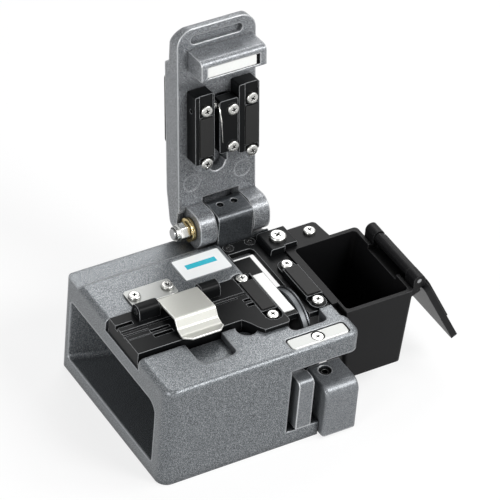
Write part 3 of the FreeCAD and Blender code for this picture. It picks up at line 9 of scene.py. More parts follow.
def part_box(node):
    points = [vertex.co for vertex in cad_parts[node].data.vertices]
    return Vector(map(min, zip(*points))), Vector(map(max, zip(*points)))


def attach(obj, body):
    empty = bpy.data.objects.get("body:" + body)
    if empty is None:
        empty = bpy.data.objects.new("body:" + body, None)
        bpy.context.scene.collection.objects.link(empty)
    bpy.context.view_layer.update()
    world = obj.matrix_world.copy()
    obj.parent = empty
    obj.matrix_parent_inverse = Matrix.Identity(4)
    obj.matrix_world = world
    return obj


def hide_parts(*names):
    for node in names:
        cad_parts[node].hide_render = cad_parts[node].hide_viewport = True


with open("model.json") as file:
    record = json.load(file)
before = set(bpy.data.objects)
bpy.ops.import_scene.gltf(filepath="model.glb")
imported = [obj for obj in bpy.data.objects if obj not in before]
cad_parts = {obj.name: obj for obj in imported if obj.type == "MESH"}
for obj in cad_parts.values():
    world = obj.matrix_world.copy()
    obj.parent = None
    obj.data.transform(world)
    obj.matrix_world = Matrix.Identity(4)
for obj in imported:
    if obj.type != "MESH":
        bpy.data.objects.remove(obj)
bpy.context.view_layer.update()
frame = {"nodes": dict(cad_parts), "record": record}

nodes = frame["nodes"]
bpy.ops.object.select_all(action="DESELECT")


# ------------------------------------------------------------------ view and studio
# A plain pale floor under a white sky.  Soft lamps stand over the front right, the right
# and the back, and weaker ones at the left and the front.  The camera stands to the left
# and front, well above.

camera_data = bpy.data.cameras.new("camera")
camera = bpy.data.objects.new("camera", camera_data)
bpy.context.scene.collection.objects.link(camera)
camera_data.lens = 277.76
camera_data.sensor_width = 36
camera_data.clip_end = 20
view_azimuth = math.radians(33.75)
view_elevation = math.radians(39.54)
view_roll = math.radians(5.32)
view_distance = 1.7517
view_centre = Vector((0.04195, 0.0378, 0.040))
towards_camera = Vector((-math.sin(view_azimuth) * math.cos(view_elevation),
                         -math.cos(view_azimuth) * math.cos(view_elevation),
                         math.sin(view_elevation)))
camera.location = view_centre + view_distance * towards_camera
look = towards_camera.to_track_quat("Z", "Y").to_matrix().to_4x4()
camera.matrix_world = (Matrix.Translation(camera.location) @ look
                       @ Matrix.Rotation(view_roll, 4, "Z"))
bpy.context.scene.camera = camera
bpy.context.scene.view_settings.view_transform = "Standard"


def linear(hex_colour):
    """Linear colour of an sRGB hex value such as "#77797C"."""
    channels = [int(hex_colour[k:k + 2], 16) / 255 for k in (1, 3, 5)]
    return [c / 12.92 if c <= 0.04045 else ((c + 0.055) / 1.055) ** 2.4 for c in channels] + [1]


def add_node(tree, kind, links=(), **settings):
    """Adds a node; settings name its properties or its sockets, links are (socket, output)."""
    node = tree.nodes.new(kind)
    for name, value in settings.items():
        if hasattr(node, name):
            setattr(node, name, value)
        else:
            node.inputs[name.replace("_", " ")].default_value = value
    for socket, output in links:
        tree.links.new(output, node.inputs[socket])
    return node


def new_material(name):
    material = bpy.data.materials.new(name)
    material.use_nodes = True
    material.node_tree.nodes.clear()
    return material, material.node_tree


def soft_lamp(name, place, aim, width, watts):
    data = bpy.data.lights.new(name, "AREA")
    data.shape = "DISK"
    data.size = width
    data.energy = watts
    lamp = bpy.data.objects.new(name, data)
    lamp.location = place
    lamp.rotation_euler = (Vector(place) - Vector(aim)).to_track_quat("Z", "Y").to_euler()
    bpy.context.scene.collection.objects.link(lamp)


soft_lamp("lamp_front_right", (0.5, -0.72, 0.95), (0.02, 0, 0.08), 0.45, 9.0)
soft_lamp("lamp_over_back", (0.45, 0.7, 0.95), (0.02, 0, 0.05), 0.8, 6.2)
soft_lamp("lamp_right", (0.85, -0.35, 0.8), (0.03, 0, 0.03), 0.5, 5.5)
soft_lamp("lamp_left", (-1.15, -0.55, 0.45), (0, 0, 0.04), 0.6, 10.0)
soft_lamp("lamp_front", (0.1, -1.3, 0.3), (0, 0, 0.06), 0.6, 2.6)


def seen_ray(tree):
    """1 for a camera, glossy or transmission ray, and 0 for the rays that light things."""
    ray = add_node(tree, "ShaderNodeLightPath")
    seen = add_node(tree, "ShaderNodeMath", operation="MAXIMUM",
                    links=[(0, ray.outputs["Is Camera Ray"]), (1, ray.outputs["Is Glossy Ray"])])
    return add_node(tree, "ShaderNodeMath", operation="MAXIMUM",
                    links=[(0, seen.outputs[0]), (1, ray.outputs["Is Transmission Ray"])])


world = bpy.data.worlds.new("white_sky")
world.use_nodes = True
bpy.context.scene.world = world
sky = world.node_tree
sky.nodes.clear()
dim = add_node(sky, "ShaderNodeBackground", Color=linear("#D8DADC"), Strength=0.25)
white = add_node(sky, "ShaderNodeBackground", Color=(1, 1, 1, 1), Strength=1.0)
mixed = add_node(sky, "ShaderNodeMixShader",
                 links=[(0, seen_ray(sky).outputs[0]), (1, dim.outputs[0]),
                        (2, white.outputs[0])])
add_node(sky, "ShaderNodeOutputWorld", links=[("Surface", mixed.outputs[0])])

bpy.ops.mesh.primitive_plane_add(size=6, location=(0, 0, 0))
floor = bpy.context.object
floor.name = "floor"
floor_paint, tree = new_material("pale_floor")
glow_share = 0.78
share = add_node(tree, "ShaderNodeMath", operation="MULTIPLY",
                 links=[(0, seen_ray(tree).outputs[0])])
share.inputs[1].default_value = glow_share
matt = add_node(tree, "ShaderNodeBsdfDiffuse", Color=linear("#F2F2F2"))
glow = add_node(tree, "ShaderNodeEmission", Color=(1, 1, 1, 1), Strength=1.0)
mixed = add_node(tree, "ShaderNodeMixShader",
                 links=[(0, share.outputs[0]), (1, matt.outputs[0]), (2, glow.outputs[0])])
add_node(tree, "ShaderNodeOutputMaterial", links=[("Surface", mixed.outputs[0])])
floor.data.materials.append(floor_paint)


# ------------------------------------------------------------------ cast and painted pieces
# The body, the lid and the hinge block are aluminium castings.  They are sprayed with a
# metallic paint whose flakes show as a fine salt and pepper.  Its outer edges are paler, partly
# as wear and partly as a painted highlight, and its hollows carry painted shade.

def round_edges(tree, width_mm):
    """Softens sharp edges in the shading: gives the normal and a mask of the outer edges."""
    rounded = add_node(tree, "ShaderNodeBevel", samples=6, Radius=width_mm / 1000)
    plain = add_node(tree, "ShaderNodeNewGeometry")
    corner = add_node(tree, "ShaderNodeAmbientOcclusion", samples=6, Distance=width_mm / 400)
    outer = add_node(tree, "ShaderNodeMapRange", From_Min=0.7, From_Max=0.92,
                     links=[("Value", corner.outputs["AO"])])
    turned = add_node(tree, "ShaderNodeVectorMath", operation="DOT_PRODUCT",
                      links=[(0, rounded.outputs[0]), (1, plain.outputs["Normal"])])
    edge = add_node(tree, "ShaderNodeMapRange", From_Min=0.995, From_Max=0.88,
                    links=[("Value", turned.outputs["Value"])])
    mask = add_node(tree, "ShaderNodeMath", operation="MULTIPLY",
                    links=[(0, edge.outputs[0]), (1, outer.outputs[0])])
    normal = add_node(tree, "ShaderNodeMix", data_type="VECTOR",
                      links=[(0, outer.outputs[0]), (4, plain.outputs["Normal"]),
                             (5, rounded.outputs[0])])
    return normal.outputs[1], mask.outputs[0]


def mix_colours(tree, factor, first, second):
    """Mixes two colours by a factor; each is a hex value or the output of another node."""
    mixed = add_node(tree, "ShaderNodeMix", data_type="RGBA", links=[("Factor", factor)])
    for socket, colour in ((6, first), (7, second)):
        if isinstance(colour, str):
            mixed.inputs[socket].default_value = linear(colour)
        else:
            tree.links.new(colour, mixed.inputs[socket])
    return mixed.outputs[2]


def painted_shade_in_hollows(tree, colour, reach_mm, dark, share):
    """Paints shade into a colour: darker where the surface lies deep in a hollow, by ambient
    occlusion.
    """
    shelter = add_node(tree, "ShaderNodeAmbientOcclusion", samples=8, Distance=reach_mm / 1000)
    depth = add_node(tree, "ShaderNodeMapRange", From_Min=0.78, From_Max=0.25, To_Max=share,
                     links=[("Value", shelter.outputs["AO"])])
    return mix_colours(tree, depth.outputs[0], colour, dark)


def metallic_paint(name, base, flake, shade, edge_wear_and_highlight, flake_mm, roughness, metallic,
                   edge_mm=0.7, reach_mm=9.0):
    """Sprayed metallic paint: flakes of three tones over a fine orange peel."""
    material, tree = new_material(name)
    normal, edges = round_edges(tree, edge_mm)
    place = add_node(tree, "ShaderNodeTexCoord")
    scale = 1000 / flake_mm
    flakes = add_node(tree, "ShaderNodeTexNoise", Scale=scale, Detail=2.0, Roughness=0.6,
                      links=[("Vector", place.outputs["Object"])])
    tones = add_node(tree, "ShaderNodeValToRGB", links=[("Fac", flakes.outputs["Fac"])])
    ramp = tones.color_ramp
    ramp.elements[0].position = 0.36
    ramp.elements[0].color = linear(shade)
    ramp.elements[1].position = 0.66
    ramp.elements[1].color = linear(flake)
    middle = ramp.elements.new(0.5)
    middle.color = linear(base)
    # pale edge tone: partly wear, partly a painted highlight
    colour_with_wear_and_highlight = mix_colours(tree, edges, tones.outputs["Color"], edge_wear_and_highlight)
    # painted shade: the colour darkens deep in hollows, where shade falls
    shaded_colour = painted_shade_in_hollows(tree, colour_with_wear_and_highlight, reach_mm, "#17191B", 0.85)
    peel = add_node(tree, "ShaderNodeTexNoise", Scale=scale / 1.6, Detail=3.0,
                    links=[("Vector", place.outputs["Object"])])
    bump = add_node(tree, "ShaderNodeBump", Strength=0.3, Distance=0.0001,
                    links=[("Height", peel.outputs["Fac"]), ("Normal", normal)])
    gloss = add_node(tree, "ShaderNodeMapRange", To_Min=roughness - 0.08,
                     To_Max=roughness + 0.1, links=[("Value", flakes.outputs["Fac"])])
    paint = add_node(tree, "ShaderNodeBsdfPrincipled", Metallic=metallic,
                     links=[("Base Color", shaded_colour),
                            ("Roughness", gloss.outputs[0]), ("Normal", bump.outputs[0])])
    add_node(tree, "ShaderNodeOutputMaterial", links=[("Surface", paint.outputs[0])])
    return material


def dress(material, *names):
    """Gives each node the material in place of the one that it came with."""
    for name in names:
        data = nodes[name].data
        if not data.materials:
            data.materials.append(material)
        for slot in range(len(data.materials)):
            data.materials[slot] = material


body_paint = metallic_paint("metallic_grey_paint", "#575B5E", "#94979A", "#2D3135",
                            "#A4A7AA", 0.34, 0.32, 0.4, 1.7)
dress(body_paint, "main_body")
lid_paint = metallic_paint("metallic_grey_lid_paint", "#6A6D70", "#A2A4A7", "#3C3F43",
                           "#C6C8CA", 0.36, 0.32, 0.35, 1.2, 3.0)
dress(lid_paint, "lid_shell")
hinge_paint = metallic_paint("dark_hinge_paint", "#3E4144", "#54575A", "#2C2F32",
                             "#B0B2B4", 0.4, 0.3, 0.5, 0.9, 4.0)
dress(hinge_paint, "hinge_block")
push_paint = metallic_paint("push_block_paint", "#64676A", "#84878A", "#46494D",
                            "#D2D4D6", 0.3, 0.32, 0.35, 1.2, 3.0)
dress(push_paint, "push_block", "blade_holder")


# ------------------------------------------------------------------ black machined pieces
# The fibre platform, the clamp bars, the deck and the bin's bracket are aluminium, milled
# and anodised black.  The skin is satin, with faint tool lines, pale sharp edges that are
# partly wear and partly a painted highlight, and painted shade in its deep corners.

def fine_skin(name, colour, other, edge_wear_and_highlight, grain_mm, roughness, metallic, bump_strength=0.2,
              stretch=(1, 1, 1), specular=0.5, edge_mm=0.35, hollow_shade_colour="#050505",
              reach_mm=3.0):
    """A smooth skin with a slight grain, pale outer edges that are partly wear and partly a
    painted highlight, and painted shade in its deep corners.
    """
    material, tree = new_material(name)
    normal, edges = round_edges(tree, edge_mm)
    place = add_node(tree, "ShaderNodeTexCoord")
    laid = add_node(tree, "ShaderNodeMapping", Scale=[1000 / grain_mm * k for k in stretch],
                    links=[("Vector", place.outputs["Object"])])
    grain = add_node(tree, "ShaderNodeTexNoise", Scale=1.0, Detail=3.0,
                     links=[("Vector", laid.outputs[0])])
    tones = mix_colours(tree, grain.outputs["Fac"], colour, other)
    # pale edge tone: partly wear, partly a painted highlight
    colour_with_wear_and_highlight = mix_colours(tree, edges, tones, edge_wear_and_highlight)
    # painted shade: the colour darkens deep in hollows, where shade falls
    shaded_colour = painted_shade_in_hollows(tree, colour_with_wear_and_highlight, reach_mm, hollow_shade_colour, 0.9)
    bump = add_node(tree, "ShaderNodeBump", Strength=bump_strength, Distance=0.00005,
                    links=[("Height", grain.outputs["Fac"]), ("Normal", normal)])
    gloss = add_node(tree, "ShaderNodeMapRange", To_Min=max(roughness - 0.05, 0.02),
                     To_Max=roughness + 0.08, links=[("Value", grain.outputs["Fac"])])
    skin = add_node(tree, "ShaderNodeBsdfPrincipled", Metallic=metallic,
                    links=[("Base Color", shaded_colour),
                           ("Roughness", gloss.outputs[0]), ("Normal", bump.outputs[0])])
    skin.inputs["Specular IOR Level"].default_value = specular
    add_node(tree, "ShaderNodeOutputMaterial", links=[("Surface", skin.outputs[0])])
    return material


anodised = fine_skin("black_anodised_aluminium", "#090A0B", "#111213", "#A2A4A6", 0.3, 0.34,
                     0.0, specular=0.08, edge_mm=0.45)
dress(anodised, "fibre_platform", "left_lower_clamp", "right_lower_clamp", "bay_deck",
      "left_upper_clamp", "right_upper_clamp", "anvil_arm", "bin_bracket")


# ------------------------------------------------------------------ bin, flap and lid pad
# The bin, its flap and the pad on the lid's back are moulded in black ABS with a fine
# spark-eroded texture, satin where light grazes it.

abs_black = fine_skin("moulded_black_abs", "#0C0C0D", "#151516", "#3A3A3B", 0.25, 0.38, 0.0,
                      0.4, specular=0.11, edge_mm=0.6, reach_mm=6.0)
dress(abs_black, "scrap_bin", "bin_flap", "lid_top_pad")


# ------------------------------------------------------------------ rubber pads
# Strips set into the clamp bars and a pad under the body.  They are moulded in nitrile
# rubber, matt and nearly black.

rubber = fine_skin("moulded_rubber", "#101010", "#1B1B1B", "#242424", 0.4, 0.6, 0.0, 0.4,
                   specular=0.3)
dress(rubber, "base_pad", "left_lower_rubber", "right_lower_rubber", "left_upper_rubber",
      "right_upper_rubber")


# ------------------------------------------------------------------ plates and rail
# The closing plate and the spring plate are bright steel, and the lid's magnet is plated.
# The rail, its bearing and screws, the axle and the pins are ground steel, with the
# grinding lines along the rail.

steel_plate = fine_skin("satin_steel_plate", "#949593", "#A2A3A1", "#F4F4F2", 0.15, 0.42, 0.8,
                        0.15, (0.15, 1, 1), edge_mm=0.3)
dress(steel_plate, "closing_plate", "spring_plate")
magnet = fine_skin("plated_magnet", "#D2D3D1", "#DEDFDD", "#FAFAF8", 0.15, 0.4, 0.3, 0.1)
dress(magnet, "lid_magnet")
ground = fine_skin("ground_steel", "#8F9091", "#A6A7A8", "#C8C8C8", 0.1, 0.28, 1.0, 0.2,
                   (1, 0.1, 1))
dress(ground, "linear_rail", "rail_bearing", "blade_axle", "clip_pin", "flap_pin",
      "anvil_pin", "hinge_pin", "rail_screws")


# ------------------------------------------------------------------ fibre clip
# One strip of spring steel, bent over the fibre and polished.  The bright lines along its bends
# are partly its reflections and partly a painted highlight in its pale edge tone.

chrome = fine_skin("polished_spring_steel", "#B4B4AE", "#BDBDB7", "#FAFAF6", 0.5, 0.34,
                   0.55, 0.02, edge_mm=0.9)
dress(chrome, "fibre_clip")


# ------------------------------------------------------------------ screws
# Nickel plated steel screws with domed heads and a cross recess hold the clamp bars, the
# plates and the bin's bracket.  The deck has black ones of that kind, and the hinge and the
# push block have black screws with a hexagon socket.

def pick(piece, kind, test):
    """Enters edit mode with those edges or faces selected whose middle passes the test."""
    bpy.ops.object.mode_set(mode="EDIT")
    bpy.ops.mesh.select_mode(type=kind)
    bpy.ops.mesh.select_all(action="DESELECT")
    bpy.ops.object.mode_set(mode="OBJECT")
    points = piece.data.vertices
    for part in (piece.data.polygons if kind == "FACE" else piece.data.edges):
        middle = sum((points[k].co for k in part.vertices), Vector()) / len(part.vertices)
        part.select = test(middle)
    bpy.ops.object.mode_set(mode="EDIT")


def cut_away(piece, cutter):
    """Cuts the cutter's shape out of the piece, and removes the cutter."""
    hollow = piece.modifiers.new("hollow", "BOOLEAN")
    hollow.operation = "DIFFERENCE"
    hollow.solver = "EXACT"
    hollow.object = cutter
    bpy.ops.object.select_all(action="DESELECT")
    piece.select_set(True)
    bpy.context.view_layer.objects.active = piece
    bpy.ops.object.modifier_apply(modifier="hollow")
    bpy.data.objects.remove(cutter)


def turned_screw(radius, head, shank_radius, shank, drive, dome):
    """A screw standing at the origin with its seat at height 0 and its shank below."""
    deep = head * 0.75
    cross_length, cross_width, socket_radius = radius * 1.16, radius * 0.3, radius * 0.58
    taper = 0.55 if drive == "cross" else 1
    tip_share = 0.85
    bpy.ops.object.select_all(action="DESELECT")
    bpy.ops.mesh.primitive_cylinder_add(vertices=40, radius=radius, depth=head,
                                        location=(0, 0, head / 2))
    screw = bpy.context.object
    bpy.ops.object.transform_apply(location=True, rotation=True, scale=True)
    pick(screw, "EDGE", lambda m: m.z > head - 1e-7 and m.xy.length > radius * 0.9)
    bpy.ops.mesh.bevel(offset=dome, segments=5, profile=0.5, affect="EDGES")
    pick(screw, "FACE", lambda m: m.z < 1e-7)
    bpy.ops.mesh.inset(thickness=radius - shank_radius)
    bpy.ops.mesh.extrude_region_move(TRANSFORM_OT_translate={"value": (0, 0, -shank)})
    bpy.ops.transform.resize(value=(tip_share, tip_share, 1))
    bpy.ops.object.mode_set(mode="OBJECT")
    for turn in ((0, math.pi / 2) if drive == "cross" else (0,)):
        bpy.ops.object.select_all(action="DESELECT")
        if drive == "cross":
            bpy.ops.mesh.primitive_cube_add(size=1, location=(0, 0, head),
                                            rotation=(0, 0, turn))
            cutter = bpy.context.object
            cutter.scale = (cross_length, cross_width, deep * 2)
        else:
            bpy.ops.mesh.primitive_cylinder_add(vertices=6, radius=socket_radius,
                                                depth=deep * 2, location=(0, 0, head))
            cutter = bpy.context.object
        bpy.ops.object.transform_apply(location=True, rotation=True, scale=True)
        pick(cutter, "FACE", lambda m: m.z < head - deep + 1e-7)
        bpy.ops.transform.resize(value=(taper, taper, 1))
        bpy.ops.object.mode_set(mode="OBJECT")
        cut_away(screw, cutter)
    bpy.ops.object.select_all(action="DESELECT")
    screw.select_set(True)
    bpy.context.view_layer.objects.active = screw
    bpy.ops.object.shade_smooth_by_angle(angle=math.radians(32))
    return screw


def separate_solids(node):
    """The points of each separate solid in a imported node."""
    mesh = nodes[node].data
    keys = {}
    index = [keys.setdefault(tuple(round(c, 6) for c in v.co), len(keys))
             for v in mesh.vertices]
    parent = list(range(len(keys)))

    def root(k):
        while parent[k] != k:
            parent[k] = parent[parent[k]]
            k = parent[k]
        return k

    for face in mesh.polygons:
        for v in face.vertices[1:]:
            parent[root(index[v])] = root(index[face.vertices[0]])
    groups = {}
    for v, k in zip(mesh.vertices, index):
        groups.setdefault(root(k), []).append(v.co.copy())
    return list(groups.values())


def body_of(node):
    bodies = frame["record"]["behaviour"]["bodies"]
    return next(name for name, members in bodies.items() if node in members)


def fit_screws(node, material, drive, axis=(0, 0, 1), dome_share=0.45, first_turn=0.3):
    """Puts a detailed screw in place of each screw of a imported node."""
    axis = Vector(axis).normalized()
    side = axis.orthogonal().normalized()
    other = axis.cross(side)
    copies, pattern = [], None
    for points in separate_solids(node):
        flat = [(p.dot(side), p.dot(other), p.dot(axis)) for p in points]
        middle = [(min(f[k] for f in flat) + max(f[k] for f in flat)) / 2 for k in (0, 1)]
        reach = [(math.hypot(f[0] - middle[0], f[1] - middle[1]), f[2]) for f in flat]
        radius = max(r for r, _ in reach)
        top, low = max(h for _, h in reach), min(h for _, h in reach)
        seat = min(h for r, h in reach if r > radius * 0.96)
        if pattern is None:
            below = [r for r, h in reach if h < seat - 1e-5]
            shank_radius = max(below) if below else radius * 0.6
            pattern = turned_screw(radius, top - seat, min(shank_radius, radius * 0.7),
                                   max(seat - low, 0.0004), drive, (top - seat) * dome_share)
        copy = pattern.copy()
        copy.data = pattern.data.copy()
        bpy.context.scene.collection.objects.link(copy)
        centre = side * middle[0] + other * middle[1] + axis * seat
        copy.data.transform(Matrix.Translation(centre)
                            @ Vector((0, 0, 1)).rotation_difference(axis).to_matrix().to_4x4()
                            @ Matrix.Rotation(first_turn + 1.1 * len(copies), 4, "Z"))
        copies.append(copy)
    bpy.data.objects.remove(pattern)
    bpy.ops.object.select_all(action="DESELECT")
    for copy in copies:
        copy.select_set(True)
    bpy.context.view_layer.objects.active = copies[0]
    if len(copies) > 1:
        bpy.ops.object.join()
    piece = bpy.context.view_layer.objects.active
    piece.name = node + "_detailed"
    piece.data.materials.clear()
    piece.data.materials.append(material)
    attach(piece, body_of(node))
    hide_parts(node)


# The dark hollow tone paints shade into the screws' cross recesses.
nickel = fine_skin("nickel_plated_steel", "#B0B0AD", "#C2C2BF", "#FAFAF8", 0.2, 0.24, 1.0, 0.1,
                   edge_mm=0.25, hollow_shade_colour="#101010", reach_mm=1.0)
lid_lean = math.radians(7.8)
lid_face = (0, -math.cos(lid_lean), math.sin(lid_lean))
fit_screws("closing_plate_screw", nickel, "cross", dome_share=0.25)
fit_screws("spring_plate_screws", nickel, "cross", first_turn=0.9)
fit_screws("lower_clamp_screws", nickel, "cross")
fit_screws("bracket_screw", nickel, "cross", first_turn=0.6)
fit_screws("flange_screw", nickel, "cross", first_turn=0.2)
fit_screws("upper_clamp_screws", nickel, "cross", lid_face)
fit_screws("anvil_screws", nickel, "cross", lid_face, first_turn=0.7)

oxide = fine_skin("black_oxide_steel", "#151515", "#222222", "#A8A8A8", 0.2, 0.3, 0.6,
                  edge_mm=0.25)
fit_screws("push_block_screw", oxide, "hex", dome_share=0.2)
fit_screws("deck_screws", oxide, "cross", dome_share=0.15)
fit_screws("hinge_set_screws", oxide, "hex", dome_share=0.12)


# ------------------------------------------------------------------ hinge washers and nut
# Two brass washers lie against the lid's left lug.  A nickel plated lock nut holds them:
# a hexagon with chamfered corners, and a collar closed over a dark nylon ring.

brass = fine_skin("bright_brass", "#B9A06A", "#CDB884", "#F3E6BE", 0.2, 0.22, 1.0)
dress(brass, "hinge_washer")

nut_low, nut_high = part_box("hinge_nut")
nut_middle = (nut_low + nut_high) / 2
nut_radius = (nut_high.z - nut_low.z) / 2
nut_length = nut_high.x - nut_low.x
collar = nut_length * 0.28
collar_radius = nut_radius * 0.8
end_inset, end_rise = nut_radius * 0.16, nut_length * 0.06
rim_inset, rim_sink = nut_radius * 0.14, collar * 0.35


def cylinder_on_hinge(vertices, radius, length, middle_x):
    """A cylinder or a prism that lies on the hinge's axis."""
    bpy.ops.object.select_all(action="DESELECT")
    bpy.ops.mesh.primitive_cylinder_add(vertices=vertices, radius=radius, depth=length,
                                        location=(middle_x, nut_middle.y, nut_middle.z),
                                        rotation=(0, math.pi / 2, 0))
    piece = bpy.context.object
    bpy.ops.object.transform_apply(location=True, rotation=True, scale=True)
    return piece


def step_face(piece, face_x, inset, move):
    """Insets the end face that lies at face_x and moves it along the hinge."""
    pick(piece, "FACE", lambda m: abs(m.x - face_x) < 1e-6)
    bpy.ops.mesh.inset(thickness=inset)
    bpy.ops.transform.translate(value=(move, 0, 0))
    bpy.ops.object.mode_set(mode="OBJECT")


def bevel_all(piece, width):
    rounding = piece.modifiers.new("rounding", "BEVEL")
    rounding.width = width
    rounding.segments = 3
    bpy.ops.object.modifier_apply(modifier="rounding")


nut = cylinder_on_hinge(6, nut_radius, nut_length - collar, nut_middle.x + collar / 2)
step_face(nut, nut_low.x + collar, end_inset, -end_rise)
bevel_all(nut, 0.0003)
rim = cylinder_on_hinge(48, collar_radius, collar, nut_low.x + collar / 2)
step_face(rim, nut_low.x, rim_inset, rim_sink)
bevel_all(rim, 0.00025)
nut.select_set(True)
rim.select_set(True)
bpy.context.view_layer.objects.active = nut
bpy.ops.object.join()
bpy.ops.object.shade_smooth_by_angle(angle=math.radians(30))
nut.name = "hinge_lock_nut"
nut.data.materials.append(nickel)
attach(nut, "base")
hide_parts("hinge_nut")

nylon = fine_skin("dark_nylon", "#141416", "#1F1F22", "#2A2A2C", 0.4, 0.45, 0.0)
bpy.ops.object.select_all(action="DESELECT")
bpy.ops.mesh.primitive_torus_add(major_radius=nut_radius * 0.54,
                                 minor_radius=nut_radius * 0.1,
                                 major_segments=48, minor_segments=12,
                                 location=(nut_low.x + collar * 0.3, nut_middle.y,
                                           nut_middle.z),
                                 rotation=(0, math.pi / 2, 0))
ring = bpy.context.object
bpy.ops.object.transform_apply(location=True, rotation=True, scale=True)
bpy.ops.object.shade_smooth()
ring.name = "hinge_nut_nylon_ring"
ring.data.materials.append(nylon)
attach(ring, "base")


# ------------------------------------------------------------------ anvil spring
# A torsion spring of bright wire on the anvil's pin.  Its leg runs down beside the arm and
# presses it away from the lid.

wire = fine_skin("bright_spring_wire", "#C4C4C0", "#D6D6D2", "#F2F2EE", 0.2, 0.15, 1.0, 0.05)
pin_low, pin_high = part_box("anvil_pin")
spring_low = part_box("anvil_spring")[0]
coil_centre = Vector((0, (pin_low.y + pin_high.y) / 2, (pin_low.z + pin_high.z) / 2))
wire_radius, coil_radius, turns = 0.00028, 0.0018, 4
wire_sides, steps_in_turn = 12, 24
coil_start = spring_low.x - 0.0011
leg_bends = ((0, -0.0034, -0.0008), (0, -0.0022, -0.0072), (0.0005, 0.0002, -0.0108))
bpy.ops.object.select_all(action="DESELECT")
bpy.ops.mesh.primitive_circle_add(vertices=wire_sides, radius=wire_radius,
                                  location=(coil_start, 0, coil_radius),
                                  rotation=(math.pi / 2, 0, 0), fill_type="NOTHING")
spring = bpy.context.object
bpy.ops.object.transform_apply(location=True, rotation=True, scale=True)
winding = spring.modifiers.new("winding", "SCREW")
winding.axis = "X"
winding.angle = turns * 2 * math.pi
winding.screw_offset = turns * wire_radius * 2
winding.steps = winding.render_steps = turns * steps_in_turn
winding.use_merge_vertices = False
bpy.ops.object.modifier_apply(modifier="winding")
bpy.ops.object.mode_set(mode="EDIT")
bpy.ops.mesh.select_mode(type="VERT")
bpy.ops.mesh.select_all(action="DESELECT")
bpy.ops.object.mode_set(mode="OBJECT")
end_ring = len(spring.data.vertices) - wire_sides
for v in spring.data.vertices:
    v.select = v.index >= end_ring
bpy.ops.object.mode_set(mode="EDIT")
for bend in leg_bends:
    bpy.ops.mesh.extrude_region_move(TRANSFORM_OT_translate={"value": bend})
bpy.ops.mesh.select_all(action="SELECT")
bpy.ops.mesh.fill_holes(sides=0)
bpy.ops.mesh.normals_make_consistent(inside=False)
bpy.ops.object.mode_set(mode="OBJECT")
spring.data.transform(Matrix.Translation(coil_centre)
                      @ Matrix.Rotation(-lid_lean, 4, "X"))
bpy.ops.object.shade_smooth()
spring.name = "anvil_torsion_spring"
spring.data.materials.append(wire)
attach(spring, "lid")
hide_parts("anvil_spring")


# ------------------------------------------------------------------ carriage, dial and blade
# The carriage's tray is anodised nearly black.  The dial is turned, with a satin rim band
# round its dark face, and the blade beside it is a ground carbide disc.

dark_alloy = fine_skin("dark_anodised_carriage", "#191A1C", "#232426", "#7E8082", 0.3, 0.35,
                       0.3)
dress(dark_alloy, "carriage_tray")
wheel_low, wheel_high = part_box("dial_wheel")
band_start, band_end = 0.0148, 0.0152
rings_in_metre = 4000


def measured_from(tree, place, middle):
    """Object coordinates measured from a point, as separate X, Y and Z."""
    centred = add_node(tree, "ShaderNodeMapping", vector_type="POINT",
                       Location=(-middle.x, -middle.y, -middle.z),
                       links=[("Vector", place.outputs["Object"])])
    return add_node(tree, "ShaderNodeSeparateXYZ", links=[(0, centred.outputs[0])])


dial, tree = new_material("turned_dial_aluminium")
normal = round_edges(tree, 0.3)[0]
place = add_node(tree, "ShaderNodeTexCoord")
apart = measured_from(tree, place, (wheel_low + wheel_high) / 2)
across = add_node(tree, "ShaderNodeCombineXYZ",
                  links=[("Y", apart.outputs["Y"]), ("Z", apart.outputs["Z"])])
distance = add_node(tree, "ShaderNodeVectorMath", operation="LENGTH",
                    links=[(0, across.outputs[0])])
rings = add_node(tree, "ShaderNodeTexNoise", noise_dimensions="1D", Scale=1.0, Detail=2.0)
ring_scale = add_node(tree, "ShaderNodeMath", operation="MULTIPLY",
                      links=[(0, distance.outputs["Value"])])
ring_scale.inputs[1].default_value = rings_in_metre
tree.links.new(ring_scale.outputs[0], rings.inputs["W"])
band = add_node(tree, "ShaderNodeMapRange", From_Min=band_start, From_Max=band_end,
                links=[("Value", distance.outputs["Value"])])
tone = mix_colours(tree, band.outputs[0], "#1B1C1E", "#5A5D60")
bump = add_node(tree, "ShaderNodeBump", Strength=0.2, Distance=0.00005,
                links=[("Height", rings.outputs["Fac"]), ("Normal", normal)])
face = add_node(tree, "ShaderNodeBsdfPrincipled", Metallic=0.3, Roughness=0.4,
                links=[("Base Color", tone), ("Normal", bump.outputs[0])])
add_node(tree, "ShaderNodeOutputMaterial", links=[("Surface", face.outputs[0])])
dress(dial, "dial_wheel")
carbide = fine_skin("ground_carbide", "#4B4D50", "#5B5D60", "#A0A2A4", 0.1, 0.25, 1.0)
dress(carbide, "blade_disc")


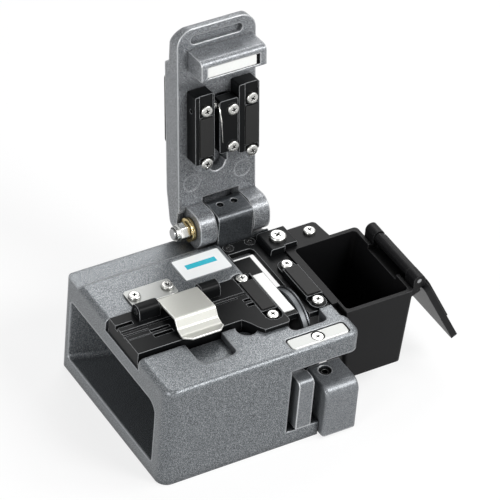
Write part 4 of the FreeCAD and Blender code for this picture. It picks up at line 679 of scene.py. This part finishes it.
# ------------------------------------------------------------------ label and strip
# A glossy white label with a thin grey border and one plain teal bar across it, and the
# white nylon strip that holds the fibre up beside the slot.

label_low, label_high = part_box("label")
half_width = (label_high.x - label_low.x) / 2
half_depth = (label_high.y - label_low.y) / 2
border = 0.0006
bar_half_width, bar_half_depth = half_width * 0.62, half_depth * 0.2
bar_centre = half_depth * 0.12
label_print, tree = new_material("printed_white_label")
place = add_node(tree, "ShaderNodeTexCoord")
apart = measured_from(tree, place, (label_low + label_high) / 2)


def within(tree, socket, half, centre=0.0, blur=0.00012):
    """1 where the coordinate lies within half of the centre, and 0 outside."""
    moved = add_node(tree, "ShaderNodeMath", operation="SUBTRACT", links=[(0, socket)])
    moved.inputs[1].default_value = centre
    size = add_node(tree, "ShaderNodeMath", operation="ABSOLUTE", links=[(0, moved.outputs[0])])
    return add_node(tree, "ShaderNodeMapRange", From_Min=half + blur, From_Max=half,
                    links=[("Value", size.outputs[0])]).outputs[0]


def both(tree, first, second):
    return add_node(tree, "ShaderNodeMath", operation="MULTIPLY",
                    links=[(0, first), (1, second)]).outputs[0]


paper = both(tree, within(tree, apart.outputs["X"], half_width - border),
             within(tree, apart.outputs["Y"], half_depth - border))
bar = both(tree, within(tree, apart.outputs["X"], bar_half_width),
           within(tree, apart.outputs["Y"], bar_half_depth, bar_centre))
sheet = mix_colours(tree, paper, "#8E9294", "#F4F6F6")
inked = mix_colours(tree, bar, sheet, "#33B9CE")
fibre = add_node(tree, "ShaderNodeTexNoise", Scale=3000.0, Detail=2.0,
                 links=[("Vector", place.outputs["Object"])])
bump = add_node(tree, "ShaderNodeBump", Strength=0.05, Distance=0.00005,
                links=[("Height", fibre.outputs["Fac"])])
print_skin = add_node(tree, "ShaderNodeBsdfPrincipled", Roughness=0.25,
                      links=[("Base Color", inked), ("Normal", bump.outputs[0])])
add_node(tree, "ShaderNodeOutputMaterial", links=[("Surface", print_skin.outputs[0])])
dress(label_print, "label")
white_nylon = fine_skin("white_nylon_strip", "#F0F1EF", "#F6F6F4", "#FAFAFA", 0.5, 0.4, 0.0)
dress(white_nylon, "support_strip")
